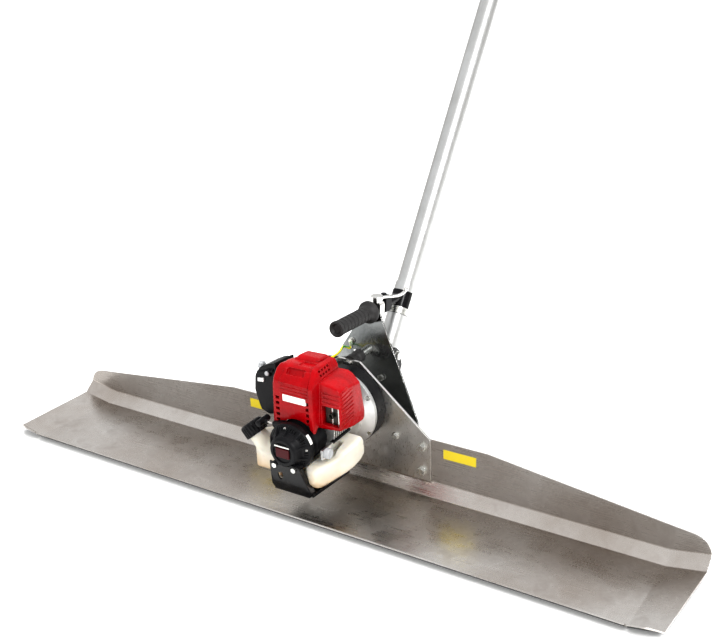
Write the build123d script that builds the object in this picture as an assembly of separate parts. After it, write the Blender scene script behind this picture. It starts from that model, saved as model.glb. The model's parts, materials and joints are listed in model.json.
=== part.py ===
"""Power screed: a bent metal blade shaken by a small petrol engine, steered with a pole.

World frame, millimetres: X runs along the blade, Y points from the front lip back to the
pole, Z is up. The origin is the centre of the flat sole, on its underside.
The wall of the blade leans forward. Everything bolted to it (engine plate, exciter and
engine) is drawn in the wall frame: x as above, y along the wall's normal with the engine
at negative y, z up the wall from its foot. WALL turns that frame into the world frame.
"""

import math
import os

from build123d import *

# ---------------------------------------------------------------- driving dimensions
BLADE_LENGTH = 1500.0
SHEET = 3.0                      # blade sheet thickness
SOLE_DEPTH = 214.0               # flat underside, front to back
STEP_RUN = 23.8                  # sloped strip between sole and wall
STEP_RISE = 22.3
LIP_RUN = 17.3                   # upturned front lip
LIP_RISE = 14.0
BEND_RADIUS = 4.0                # inside radius of the sheet bends
WALL_LEAN = 5.0                  # degrees, forward
WALL_HEIGHT = 97.0               # at the middle, up the wall
WALL_END_Z = 66.8                # top of the wall at the blade ends
WALL_KINK_X = 310.0              # where the wall top starts to fall
END_FOLD_X = 677.0               # the ends fold up outside this
END_RISE = 12.8
END_CORNER = 40.0                # radius of the wall's end corners
END_FRONT_X = 738.0              # the ends are narrower at the lip

PLATE = 5.0                      # engine plate thickness
PLATE_HALF = 186.0
PLATE_TOP = 236.0
PLATE_TOP_HALF = 25.8
PLATE_BOLT_X = 166.0
PLATE_BOLT_Z = (22.0, 77.0)
ISOLATOR_X = 105.5
ISOLATOR_Z = 87.5
ISOLATOR_LENGTH = 38.0
ISOLATOR_RADIUS = 14.0
TOP_BOLT_Z = 228.0

AXIS = 145.0                     # crankshaft height up the wall
DRUM_RADIUS = 85.0               # exciter housing
DRUM_FRONT = 38.0                # distances in front of the wall are positive here
COVER_FRONT = 64.0               # exciter cover's front face
CLUTCH_FRONT = 92.0
CASE_FRONT = 160.0
RECOIL_FRONT = 250.0               # starter hub; the rim sits further back
RIM_RADIUS = 48.0
CASING_RADIUS = 44.0               # round the flywheel
CYLINDER_AT = 126.0              # cylinder axis, in front of the wall
BORE = 39.0
STROKE = 30.0
STAND_BOLT_X = (-22.0, 22.0)
STAND_BOLT_Z = 112.0
STAND_FRONT = 246.0                # at the bolts; the guard leans back towards its foot
ROPE_AT = 203.0                  # starter rope, in front of the wall
OIL_AT = 194.0                   # oil plug, in front of the wall
OIL_Z = 134.0

HANDLE_SHEET = 4.0
HANDLE_LEAN = 9.5                # degrees, backward
HANDLE_Z0 = 245.3                # a height where the handle plate's front face is known
HANDLE_Y0 = 182.1
HANDLE_TOP = 336.0
HANDLE_TOP_HALF = 18.0
HANDLE_FLARE = 0.56              # half width gained per millimetre of height lost
TUBE_Z = 339.4                   # handle tube, horizontal
TUBE_RADIUS = 11.0
GRIP_FRONT_Y = 60.0
GRIP_LENGTH = 126.0
GRIP_RADIUS = 16.0

POLE_ANGLE = 58.1                # degrees above the ground
POLE_RADIUS = 20.0
POLE_WALL = 2.0
POLE_LENGTH = 1100.0
SOCKET_BOLT = (255.0, 226.0)     # Y and Z of the bolt across the pole socket
SOCKET_WALL = 2.0
SOCKET_ABOVE_BOLT = 158.0
SOCKET_BELOW_BOLT = 14.0

CLEARANCE = 0.05                 # radial running clearance

WALL_FOOT = (SOLE_DEPTH / 2 + STEP_RUN, SHEET + STEP_RISE)
WALL = Location((0, WALL_FOOT[0], WALL_FOOT[1]), (WALL_LEAN, 0, 0))
POLE = Location((0, SOCKET_BOLT[0], SOCKET_BOLT[1]), (POLE_ANGLE - 90, 0, 0))


# ---------------------------------------------------------------- helpers
def block(x0, x1, y0, y1, z0, z1):
    """Axis-aligned box between two corners."""
    return Pos((x0 + x1) / 2, (y0 + y1) / 2, (z0 + z1) / 2) * Box(x1 - x0, y1 - y0, z1 - z0)


def rod(radius, start, end):
    """Solid round bar between two points."""
    a, b = Vector(*start), Vector(*end)
    plane = Plane(origin=a, z_dir=b - a)
    return extrude(plane * Circle(radius), (b - a).length)


def ahead(radius, near, far, x=0.0, z=AXIS):
    """Round bar along the crank axis, between two distances in front of the wall."""
    return rod(radius, (x, -near, z), (x, -far, z))


def ring_ahead(outer, inner, near, far, x=0.0, z=AXIS):
    """Ring along the crank axis."""
    return ahead(outer, near, far, x, z) - ahead(inner, near - 1, far + 1, x, z)


def turned(points, x=0.0, z=AXIS):
    """Solid of revolution about the crank axis from (radius, distance ahead) corners."""
    outline = Polyline(*[(r, 0, d) for r, d in points], close=True)
    body = revolve(make_face(outline), Axis.Z)
    return Pos(x, 0, z) * Rot(90, 0, 0) * body


def prism(points, plane, amount, radius=0.0):
    """Extrudes a polygon drawn on a plane, with its corners rounded if asked."""
    face = make_face(plane * Polyline(*points, close=True))
    if radius:
        face = fillet(face.vertices(), radius)
    return extrude(face, amount, dir=plane.z_dir)


def hex_bar(flats, start, end):
    """Hexagonal bar between two points."""
    a, b = Vector(*start), Vector(*end)
    plane = Plane(origin=a, z_dir=b - a)
    return extrude(plane * RegularPolygon(flats / 2, 6, major_radius=False), (b - a).length)


def bolt(size, head_at, tip_at):
    """Hex bolt: head outside head_at, plain shank from head_at to tip_at."""
    a, b = Vector(*head_at), Vector(*tip_at)
    back = (a - b).normalized()
    head = hex_bar(1.6 * size, a, a + back * (0.65 * size))
    return head + rod(size / 2, a, b)


def washer(size, at, along):
    """Plain washer from a point, growing along a direction."""
    a, way = Vector(*at), Vector(*along).normalized()
    thick = 0.16 * size
    ring = rod(1.05 * size, a, a + way * thick)
    return ring - rod(size / 2 + 0.1, a - way, a + way * (thick + 1))


def nut(size, at, along):
    """Hex nut from a point, growing along a direction."""
    a, way = Vector(*at), Vector(*along).normalized()
    height = 0.8 * size
    body = hex_bar(1.6 * size, a, a + way * height)
    return body - rod(size / 2 + 0.02, a - way, a + way * (height + 1))


def swept_tube(radius, points):
    """Round cord or pipe along a smooth curve through points."""
    path = Spline(*points)
    start = Plane(origin=path @ 0, z_dir=path % 0)
    return sweep(start * Circle(radius), path)


def group(*solids):
    """Separate solids kept in one node."""
    return Compound(children=[s for shape in solids for s in shape.solids()])


def mirrored(shape):
    """The same shape on the other side of the blade's middle."""
    return mirror(shape, Plane.YZ)


# ---------------------------------------------------------------- blade
def blade_profile():
    """Cross-section of the bent sheet, drawn in the YZ plane at x = 0."""
    sole_front = -SOLE_DEPTH / 2
    sole_back = SOLE_DEPTH / 2
    lean = math.radians(WALL_LEAN)
    top = WALL_HEIGHT + END_RISE
    corners = [
        (sole_front - LIP_RUN, SHEET + LIP_RISE),
        (sole_front, SHEET),
        (sole_back, SHEET),
        WALL_FOOT,
        (WALL_FOOT[0] - top * math.sin(lean), WALL_FOOT[1] + top * math.cos(lean)),
    ]
    inner = FilletPolyline(*corners, radius=BEND_RADIUS)
    outline = offset(inner, amount=SHEET, side=Side.RIGHT)
    return Plane.YZ * make_face(outline)


def blade():
    """Sole, sloped step, leaning wall, front lip and upturned ends of one bent sheet."""
    half = BLADE_LENGTH / 2
    section = blade_profile()
    middle = extrude(Pos(-END_FOLD_X, 0, 0) * section, 2 * END_FOLD_X, dir=(1, 0, 0))
    end_run = half - END_FOLD_X
    flap = loft([Pos(END_FOLD_X, 0, 0) * section, Pos(half, 0, END_RISE) * section])
    body = middle + flap + mirrored(flap)
    # the wall's top edge, seen from the front
    flat_top = WALL_FOOT[1] + WALL_HEIGHT * math.cos(math.radians(WALL_LEAN))
    front = Polyline(
        (-half, -end_run), (half, -end_run), (half, WALL_END_Z), (WALL_KINK_X, flat_top),
        (-WALL_KINK_X, flat_top), (-half, WALL_END_Z), close=True)
    face = Plane.XZ * make_face(front)
    corners = face.vertices().group_by(Axis.Z)[1]
    face = fillet(corners, END_CORNER)
    body = body & extrude(face, BLADE_LENGTH, both=True)
    body = body - end_cut() - mirrored(end_cut())
    for x in (-PLATE_BOLT_X, PLATE_BOLT_X):
        for z in PLATE_BOLT_Z:
            body = body - WALL * rod(5.3, (x, -10, z), (x, 10, z))
    for x in (-ISOLATOR_X, ISOLATOR_X):
        body = body - WALL * rod(4.3, (x, -10, ISOLATOR_Z), (x, 10, ISOLATOR_Z))
    return body


def end_cut():
    """What is trimmed off one end: a slanted end edge and a lip that fades to the corner."""
    half = BLADE_LENGTH / 2
    lip_y = -SOLE_DEPTH / 2 - LIP_RUN - SHEET
    corner_y = -SOLE_DEPTH / 2
    lip_end = END_FOLD_X + 13
    outside = half + 30
    fade = RadiusArc((lip_end, lip_y), (END_FRONT_X, corner_y), -60)
    rest = Polyline(
        (END_FRONT_X, corner_y), (half, WALL_FOOT[0] - 20), (half, WALL_FOOT[0] + 30),
        (outside, WALL_FOOT[0] + 30),
        (outside, lip_y - 20), (lip_end, lip_y - 20), (lip_end, lip_y))
    trim = extrude(make_face([*fade.edges(), *rest.edges()]), 200, both=True)
    notch = block(END_FOLD_X - 1.5, END_FOLD_X + 1.5, lip_y - 5, corner_y - 4, -5, 40)
    return trim + notch


def labels():
    """Plain stickers: two on the wall, one on the engine's cover."""
    sticker = block(213, 285, -0.4, -0.01, 61, 82)
    front = block(-30, 24, -196.4, -196.01, 224, 240)
    return WALL * group(sticker, Pos(20, 0, 0) * mirrored(sticker), front)


# ---------------------------------------------------------------- plates and isolators
def engine_plate():
    """Flat plate on the front of the wall that carries exciter and engine."""
    outline = [
        (-PLATE_HALF, 3), (PLATE_HALF, 3), (PLATE_HALF, WALL_HEIGHT), (PLATE_TOP_HALF, PLATE_TOP),
        (-PLATE_TOP_HALF, PLATE_TOP), (-PLATE_HALF, WALL_HEIGHT)]
    plate = prism(outline, Plane.XZ, PLATE)
    plate = fillet(plate.edges().filter_by(Axis.Y), 2.5)
    for x in (-PLATE_BOLT_X, PLATE_BOLT_X):
        for z in PLATE_BOLT_Z:
            plate = plate - ahead(5.3, -2, PLATE + 2, x, z)
    for x, z in isolator_places():
        plate = plate - ahead(4.3, -2, PLATE + 2, x, z)
    for x, z in drum_bolt_places():
        plate = plate - ahead(3.2, -2, PLATE + 2, x, z)
    return WALL * plate


def isolator_places():
    """Where the rubber mounts sit on the engine plate."""
    return [(-ISOLATOR_X, ISOLATOR_Z), (ISOLATOR_X, ISOLATOR_Z), (0.0, TOP_BOLT_Z)]


def drum_bolt_places():
    """Four screws that hold the exciter housing, from behind the engine plate."""
    reach = 60.0
    spots = []
    for turn in (35, 145, 215, 325):
        angle = math.radians(turn)
        spots.append((reach * math.cos(angle), AXIS + reach * math.sin(angle)))
    return spots


def plate_bolts():
    """Bolts of the engine plate: four with nuts through the blade wall, five in the rubber mounts."""
    pieces = isolator_bolts()
    for x in (-PLATE_BOLT_X, PLATE_BOLT_X):
        for z in PLATE_BOLT_Z:
            front = -PLATE
            pieces.append(washer(10, (x, front, z), (0, -1, 0)))
            pieces.append(bolt(10, (x, front - 1.6, z), (x, SHEET + 14, z)))
            pieces.append(washer(10, (x, SHEET, z), (0, 1, 0)))
            pieces.append(nut(10, (x, SHEET + 1.6, z), (0, 1, 0)))
    return WALL * group(*pieces)


def isolators():
    """Three rubber mounts between the shaken plate and the handle plate."""
    pieces = []
    for x, z in isolator_places():
        back = SHEET if z < WALL_HEIGHT else 0.0
        rubber = rod(ISOLATOR_RADIUS, (x, back, z), (x, back + ISOLATOR_LENGTH, z))
        waist = turned_y([(ISOLATOR_RADIUS + 1, 10), (ISOLATOR_RADIUS - 2.5, ISOLATOR_LENGTH / 2),
                          (ISOLATOR_RADIUS + 1, ISOLATOR_LENGTH - 10)], x, back, z)
        rubber = rubber - waist
        rubber = rubber - rod(4.1, (x, back - 1, z), (x, back + 10, z))
        rubber = rubber - rod(4.1, (x, back + ISOLATOR_LENGTH - 10, z),
                              (x, back + ISOLATOR_LENGTH + 1, z))
        pieces.append(rubber)
    return WALL * group(*pieces)


def turned_y(points, x, y, z):
    """Solid of revolution about a line along +y from (radius, distance) corners."""
    outline = Polyline(*[(r, 0, d) for r, d in points], close=True)
    return Pos(x, y, z) * Rot(-90, 0, 0) * revolve(make_face(outline), Axis.Z)


def isolator_bolts():
    """Bolts into both ends of each rubber mount, in the wall frame."""
    pieces = []
    for x, z in isolator_places():
        back = SHEET if z < WALL_HEIGHT else 0.0
        far = back + ISOLATOR_LENGTH
        pieces.append(washer(8, (x, -PLATE, z), (0, -1, 0)))
        pieces.append(bolt(8, (x, -PLATE - 1.28, z), (x, back + 9, z)))
        if z < WALL_HEIGHT:
            pieces.append(washer(8, (x, far + HANDLE_SHEET, z), (0, 1, 0)))
            pieces.append(bolt(8, (x, far + HANDLE_SHEET + 1.28, z), (x, far - 9, z)))
    return pieces


def handle_front(z):
    """Y of the handle plate's front face at a height, on its leaning part."""
    return HANDLE_Y0 + (z - HANDLE_Z0) * math.tan(math.radians(HANDLE_LEAN))


def handle_bend():
    """Foot line, bend line and top line of the handle plate's front face as (Y, Z)."""
    flange = SHEET + ISOLATOR_LENGTH
    foot = WALL * Pos(0, flange, 62)
    upper = WALL * Pos(0, flange, 90)
    y0, z0 = foot.position.Y, foot.position.Z
    slope = (upper.position.Y - y0) / (upper.position.Z - z0)
    lean = math.tan(math.radians(HANDLE_LEAN))
    z_bend = (HANDLE_Y0 - lean * HANDLE_Z0 - y0 + slope * z0) / (slope - lean)
    return [(y0, z0), (handle_front(z_bend), z_bend), (handle_front(HANDLE_TOP), HANDLE_TOP)]


def half_width(z):
    """Half width of the handle plate at a height."""
    return HANDLE_TOP_HALF + HANDLE_FLARE * (HANDLE_TOP - z)


def handle_plate():
    """Tall plate that leans back: its lower strip is parallel to the wall."""
    line = handle_bend()
    profile = offset(FilletPolyline(*line, radius=6.0), amount=HANDLE_SHEET, side=Side.RIGHT)
    sheet = extrude(Plane.YZ * make_face(profile), 2 * half_width(0), both=True)
    foot_z, bend_z = line[0][1], line[1][1]
    wide = half_width(bend_z)
    outline = make_face(Polyline(
        (-wide, foot_z - 3), (wide, foot_z - 3), (wide, bend_z), (HANDLE_TOP_HALF, HANDLE_TOP),
        (-HANDLE_TOP_HALF, HANDLE_TOP), (-wide, bend_z), close=True))
    outline = fillet(outline.vertices().group_by(Axis.Y)[0], 14)
    outline = fillet(outline.vertices().group_by(Axis.Y)[-1], 8)
    plate = sheet & extrude(Plane.XZ * outline, 400, both=True)
    for x in (-ISOLATOR_X, ISOLATOR_X):
        plate = plate - WALL * rod(4.3, (x, 30, ISOLATOR_Z), (x, 60, ISOLATOR_Z))
    for x, z in bracket_bolt_places():
        plate = plate - rod(4.3, (x, handle_front(z) - 20, z), (x, handle_front(z) + 20, z))
    lug_z = earth_lug_place()[1]
    plate = plate - rod(3.2, (-41, handle_front(lug_z) - 20, lug_z),
                        (-41, handle_front(lug_z) + 20, lug_z))
    plate = plate - rod(TUBE_RADIUS + 0.3, (0, 150, TUBE_Z), (0, 240, TUBE_Z))
    cable_x, cable_z = cable_hole_place()
    cable_y = handle_front(cable_z)
    plate = plate - rod(7, (cable_x, cable_y - 20, cable_z), (cable_x, cable_y + 20, cable_z))
    spacer_z = (WALL * Pos(0, 60, TOP_BOLT_Z)).position.Z
    plate = plate - rod(4.3, (0, handle_front(spacer_z) - 20, spacer_z),
                        (0, handle_front(spacer_z) + 30, spacer_z))
    return plate


def behind_plate(shape):
    """Trims a shape so that it starts on the rear face of the handle plate."""
    lean = math.radians(HANDLE_LEAN)
    rear = HANDLE_SHEET / math.cos(lean) + 0.01
    points = [(handle_front(z) + rear, z) for z in (0, 500)]
    tool = prism([points[0], points[1], (-300, 500), (-300, 0)], Plane.YZ, 300)
    return shape - tool - mirrored(tool)


def before_plate(shape):
    """Trims a shape so that it ends on the front face of the handle plate."""
    points = [(handle_front(z) - 0.01, z) for z in (0, 500)]
    tool = prism([points[0], points[1], (600, 500), (600, 0)], Plane.YZ, 300)
    return shape - tool - mirrored(tool)


def top_spacer():
    """Steel spacer from the top rubber mount to the handle plate, with its rear bolt."""
    z = TOP_BOLT_Z
    tube = WALL * (rod(9, (0, ISOLATOR_LENGTH, z), (0, ISOLATOR_LENGTH + 60, z)))
    stud = WALL * rod(4, (0, ISOLATOR_LENGTH - 9, z), (0, ISOLATOR_LENGTH + 1, z))
    tip = WALL * Pos(0, 60, z)
    bolt_z = tip.position.Z
    y = handle_front(bolt_z) + HANDLE_SHEET + 1.6
    bore = rod(4.1, (0, y - 30, bolt_z), (0, y + 30, bolt_z))
    head = bolt(8, (0, y, bolt_z), (0, y - 28, bolt_z))
    return group(before_plate(tube) + stud - bore, head)


# ---------------------------------------------------------------- exciter
def exciter_housing():
    """Round drum against the engine plate, holding the rear bearing."""
    drum = turned([(0, PLATE), (DRUM_RADIUS, PLATE), (DRUM_RADIUS, DRUM_FRONT), (76, DRUM_FRONT),
                   (76, 11), (24, 11), (24, 18), (17.5, 18), (17.5, 7), (0, 7)])
    for x, z in drum_bolt_places():
        drum = drum - ahead(3.2, 0, 20, x, z)
    for x, z in cover_screw_places():
        drum = drum - ahead(2.6, 22, 60, x, z)
    drum = drum - ahead(10, 0, 13, 0, TOP_BOLT_Z)
    return WALL * fillet_rim(drum, DRUM_RADIUS, 1.5)


def fillet_rim(shape, radius, amount):
    """Rounds the circular edges of one radius."""
    rims = [e for e in shape.edges().filter_by(GeomType.CIRCLE) if abs(e.radius - radius) < 0.01]
    return fillet(rims, amount)


def cover_screw_places():
    """Six screws around the rim of the exciter cover."""
    reach = 80.0
    spots = []
    for step in range(6):
        angle = math.radians(30 + 60 * step)
        spots.append((reach * math.cos(angle), AXIS + reach * math.sin(angle)))
    return spots


def exciter_cover():
    """Silver cone on the drum that holds the front bearing and carries the engine."""
    cover = turned([(84, DRUM_FRONT), (84, 46), (62, 60), (62, COVER_FRONT), (10, COVER_FRONT),
                    (10, 61), (17.5, 61), (17.5, 50), (23, 50), (23, 54), (56, 54), (74, 42),
                    (74, DRUM_FRONT)])
    for x, z in cover_screw_places():
        cover = cover - ahead(2.6, 30, 60, x, z) - ahead(5, 44, 70, x, z)
    for x, z in clutch_screw_places():
        cover = cover - ahead(2.6, 50, 70, x, z)
    return WALL * cover


def engine_screws():
    """Screws of exciter and stand: six in the cover, four through the plate, two in the stand."""
    pieces = []
    for x in STAND_BOLT_X:
        pieces.append(bolt(6, (x, -STAND_FRONT, STAND_BOLT_Z), (x, -STAND_FRONT + 18, STAND_BOLT_Z)))
    for x, z in cover_screw_places():
        pieces.append(ahead(2.5, 23, 44, x, z) + ahead(4.4, 44, 48, x, z))
    for x, z in drum_bolt_places():
        pieces.append(ahead(3, -1, 10, x, z) + ahead(5.5, -5, 0, x, z))
    return WALL * group(*pieces)


def bearings():
    """Ball bearings of exciter and crankshaft, each drawn as one ring with shield grooves."""
    pieces = []
    for outer, bore, near, far in ((17.5, 7.5, 7.2, 18), (17.5, 7.5, 50, 61), (16, 8, 94, 104),
                                   (16, 8, 146, 156)):
        inner = bore + CLEARANCE
        middle = (outer + inner) / 2
        pieces.append(turned([(inner, near), (middle - 2, near), (middle - 2, near + 1),
                              (middle + 2, near + 1), (middle + 2, near), (outer, near), (outer, far),
                              (middle + 2, far), (middle + 2, far - 1), (middle - 2, far - 1),
                              (middle - 2, far), (inner, far)]))
    return WALL * group(*pieces)


def eccentric_shaft():
    """Shaft with a half-disc weight that shakes the blade."""
    shaft = ahead(7.5, 7.5, 62) + ahead(6, 61, 80)
    weight = ahead(46, 22, 46) & block(-60, 60, -60, 0, AXIS - 60, AXIS)
    hub = ahead(15, 20, 48)
    return WALL * (shaft + hub + weight)


def clutch_drum():
    """Cup on the front of the eccentric shaft that the clutch shoes grip."""
    cup = turned([(6, 66), (41, 66), (41, 87), (38, 87), (38, 69.5), (13, 69.5), (13, 79), (6, 79)])
    return WALL * cup


def clutch_shoes():
    """Two centrifugal shoes with their carrier, on the rear end of the crankshaft."""
    shoes = ring_ahead(37, 20, 73, 86) - block(-50, 50, -90, -70, AXIS - 3, AXIS + 3)
    carrier = ring_ahead(12, 8, 81, 86) + block(-6, 6, -86, -82, AXIS + 9, AXIS + 20.5)
    carrier = carrier + block(-6, 6, -86, -82, AXIS - 20.5, AXIS - 9) - ahead(8, 80, 87)
    lining = shoes + carrier
    return WALL * group(lining)


def clutch_screw_places():
    """Four screws that join clutch housing and exciter cover."""
    reach = 56.0
    spots = []
    for turn in (45, 135, 225, 315):
        angle = math.radians(turn)
        spots.append((reach * math.cos(angle), AXIS + reach * math.sin(angle)))
    return spots


def clutch_housing():
    """Bell between exciter cover and crankcase."""
    bell = turned([(44, COVER_FRONT), (62, COVER_FRONT), (62, 70), (51, 76), (51, CLUTCH_FRONT),
                   (10, CLUTCH_FRONT), (10, 89), (44, 89)])
    for x, z in clutch_screw_places():
        bell = bell - ahead(2.6, 60, 80, x, z)
    return WALL * bell


# ---------------------------------------------------------------- engine, inside
def crankcase():
    """Block around the crank chamber, with seats for both main bearings."""
    low, high = AXIS - 44, AXIS + 36
    body = block(-40, 40, -CASE_FRONT, -CLUTCH_FRONT, low, high)
    body = fillet(body.edges().filter_by(Axis.Y), 14)
    body = body - ahead(33, 104.5, 145.5) - ahead(16, 94, 105) - ahead(16, 145, 156)
    body = body - ahead(9, 90, 162) + oil_neck()
    return WALL * (body - rod(BORE / 2 + 4, (0, -CYLINDER_AT, AXIS), (0, -CYLINDER_AT, high + 5)))


def cylinder():
    """Finned barrel with its head, on top of the crankcase."""
    foot = AXIS + 36
    barrel = rod(BORE / 2 + 6, (0, -CYLINDER_AT, foot), (0, -CYLINDER_AT, foot + 62))
    fins = []
    for step in range(7):
        z = foot + 8 + 7.5 * step
        fin = block(-35, 35, -CYLINDER_AT - 33, -CYLINDER_AT + 33, z, z + 2.5)
        fins.append(fillet(fin.edges().filter_by(Axis.Z), 8))
    base = block(-32, 32, -CYLINDER_AT - 30, -CYLINDER_AT + 30, foot, foot + 5)
    for piece in [base, *fins]:
        barrel = barrel + piece
    head = block(-32, 32, -CYLINDER_AT - 30, -CYLINDER_AT + 30, foot + 58, foot + 74)
    barrel = barrel + head
    chamber = rod(BORE / 2, (0, -CYLINDER_AT, foot - 5), (0, -CYLINDER_AT, foot + 60))
    plug_bore = rod(5, (0, -CYLINDER_AT + 20, foot + 66), (0, -CYLINDER_AT + 40, foot + 66))
    return WALL * (barrel - chamber - plug_bore)


def valve_cover():
    """Cap over the valve gear."""
    z = AXIS + 110
    cap = block(-29, 29, -CYLINDER_AT - 27, -CYLINDER_AT + 27, z, z + 12)
    return WALL * fillet(cap.edges().filter_by(Axis.Z), 9)


def spark_plug():
    """Spark plug in the back of the head."""
    z = AXIS + 102
    y = -CYLINDER_AT
    return WALL * (rod(5, (0, y + 21, z), (0, y + 31, z)) + hex_bar(15, (0, y + 30.1, z), (0, y + 38, z))
                   + rod(4.5, (0, y + 38, z), (0, y + 52, z)))


def plug_cap():
    """Rubber cap and its lead."""
    z = AXIS + 102
    y = -CYLINDER_AT
    cap = rod(9, (0, y + 40, z), (0, y + 60, z)) - rod(4.6, (0, y + 39, z), (0, y + 54, z))
    lead = swept_tube(2.5, [(0, y + 59, z), (-12, y + 66, z - 2), (-40, y + 60, z + 6),
                            (-48, y + 30, z + 6)])
    return WALL * (cap + lead)


def piston():
    """Piston at mid stroke."""
    z = AXIS + 48
    crown = rod(BORE / 2 - CLEARANCE, (0, -CYLINDER_AT, z), (0, -CYLINDER_AT, z + 28))
    hollow = rod(15, (0, -CYLINDER_AT, z - 1), (0, -CYLINDER_AT, z + 21))
    pin = rod(4.5, (-18, -CYLINDER_AT, z + 10), (18, -CYLINDER_AT, z + 10))
    return WALL * (crown - hollow + pin)


def crankshaft():
    """Shaft with two webs and a crank pin."""
    y = CYLINDER_AT
    shaft = ahead(8, 81, y - 12) + ahead(8, y + 12, 184)
    webs = ahead(28, y - 17, y - 9) + ahead(28, y + 9, y + 17)
    pin = ahead(7, y - 10, y + 10, STROKE / 2)
    return WALL * (shaft + webs + pin)


def flywheel():
    """Flywheel with cooling blades, on the front end of the crankshaft."""
    disc = ring_ahead(39, 8, 164, 169)
    hub = ring_ahead(15, 8, 164, 180)
    wheel = disc + hub
    for step in range(12):
        fan = block(18, 39, -180, -168, AXIS - 1.2, AXIS + 1.2)
        wheel = wheel + Pos(0, 0, AXIS) * Rot(0, 30 * step, 0) * Pos(0, 0, -AXIS) * fan
    return WALL * wheel


def ignition_coil():
    """Coil beside the rim of the flywheel."""
    core = block(-12, 12, -174, -164, AXIS + 40, AXIS + 52)
    return WALL * fillet(core.edges().filter_by(Axis.Y), 3)


# ---------------------------------------------------------------- engine, outside
def recoil_housing():
    """Black starter casing: round the flywheel, then a wide rim and a cone with a flat hub."""
    front = RECOIL_FRONT
    shell = turned([(0, front - 3), (20, front - 3), (20, front), (27, front), (30, front - 4),
                    (35, front - 17), (RIM_RADIUS, front - 28), (RIM_RADIUS, front - 38),
                    (39.5, front - 50), (39.5, 194), (CASING_RADIUS, 190), (CASING_RADIUS, CASE_FRONT + 1),
                    (41, CASE_FRONT + 1), (41, 187), (36.5, 191), (36.5, 201), (RIM_RADIUS - 3, 213),
                    (RIM_RADIUS - 3, 220.5), (32, 231), (27, front - 5), (6, front - 5), (6, 196), (0, 196)])
    for x in STAND_BOLT_X:
        boss = ahead(7, 224, STAND_FRONT - 3, x, STAND_BOLT_Z) - ahead(31, 220, 250)
        shell = shell + boss - ahead(3.1, 226, 250, x, STAND_BOLT_Z)
    for step in range(9):
        slot = block(35, 43, -232, -222, AXIS - 2.4, AXIS + 2.4)
        turn = Pos(0, 0, AXIS) * Rot(0, 30 - 30 * step, 0) * Pos(0, 0, -AXIS)
        shell = shell - turn * slot
    guide = rod(7, (-30, -ROPE_AT, AXIS + 28), (-48, -ROPE_AT, AXIS + 28)) - ahead(38, 190, 215)
    exit_hole = rod(4, (-20, -ROPE_AT, AXIS + 28), (-70, -ROPE_AT, AXIS + 28))
    coil_window = block(-14, 14, -178, -158, AXIS + 34, AXIS + 60)
    return WALL * (shell + guide - exit_hole - coil_window)


def starter_badge():
    """Plain panel in the middle of the starter casing."""
    panel = block(-15, 15, -RECOIL_FRONT + 2.99 - 1.6, -RECOIL_FRONT + 2.99, AXIS - 9, AXIS + 9)
    return WALL * fillet(panel.edges().filter_by(Axis.Y), 3)


def starter_pulley():
    """Rope pulley on the casing's post."""
    back, front = ROPE_AT - 6, ROPE_AT + 6
    wheel = turned([(6 + CLEARANCE, back), (34, back), (34, back + 2.5), (26, ROPE_AT - 2),
                    (26, ROPE_AT + 2), (34, front - 2.5), (34, front), (6 + CLEARANCE, front)])
    return WALL * (wheel - ring_ahead(21, 13, back + 3, front + 1))


def recoil_spring():
    """Flat spiral spring in the pulley's pocket, drawn as a coiled strip."""
    turns = 2.3
    inner = spiral(13.6, 19.2, turns)
    outer = spiral(14.2, 19.8, turns)
    ends = [Line(inner @ 0, outer @ 0), Line(inner @ 1, outer @ 1)]
    coil = extrude(make_face([inner.edge(), outer.edge(), *[line.edge() for line in ends]]), 6)
    return WALL * Pos(0, -ROPE_AT + 1, AXIS) * Rot(90, 0, 0) * coil


def spiral(start_radius, end_radius, turns):
    """Spiral curve in the XY plane whose radius grows evenly."""
    steps = 40
    points = []
    for step in range(steps):
        share = step / (steps - 1)
        angle = 2 * math.pi * turns * share
        radius = start_radius + (end_radius - start_radius) * share
        points.append((radius * math.cos(angle), radius * math.sin(angle)))
    return Spline(*points)


def starter_rope():
    """The stretch of rope between casing and pull handle."""
    z = AXIS + 28
    return WALL * rod(1.8, (-45, -ROPE_AT, z), (-66, -ROPE_AT, z))


def starter_handle():
    """T-shaped pull handle."""
    z = AXIS + 28
    bar = rod(7, (-76, -ROPE_AT - 18, z), (-76, -ROPE_AT + 18, z))
    bar = fillet(bar.edges().filter_by(GeomType.CIRCLE), 4)
    neck = rod(5, (-64, -ROPE_AT, z), (-74, -ROPE_AT, z))
    return WALL * (bar + neck - rod(1.85, (-55, -ROPE_AT, z), (-66.2, -ROPE_AT, z)))


def top_cover():
    """Red shroud over cylinder and muffler, open below and on the carburettor side."""
    outer = cover_shape(0.0)
    inner = cover_shape(3.0)
    cover = outer - inner
    window = block(54, 86, -190, -165, 184, 227)
    cover = cover - window
    for step in range(5):
        z = 182 + 13 * step
        louvre = block(84, 95, -168, -112, z, z + 5)
        cover = cover - louvre
    for x in (-28, 0, 28):
        vent = block(x - 9, x + 9, -150, -118, 270, 310)
        cover = cover - fillet(vent.edges().filter_by(Axis.Z), 4)
    return WALL * cover


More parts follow.
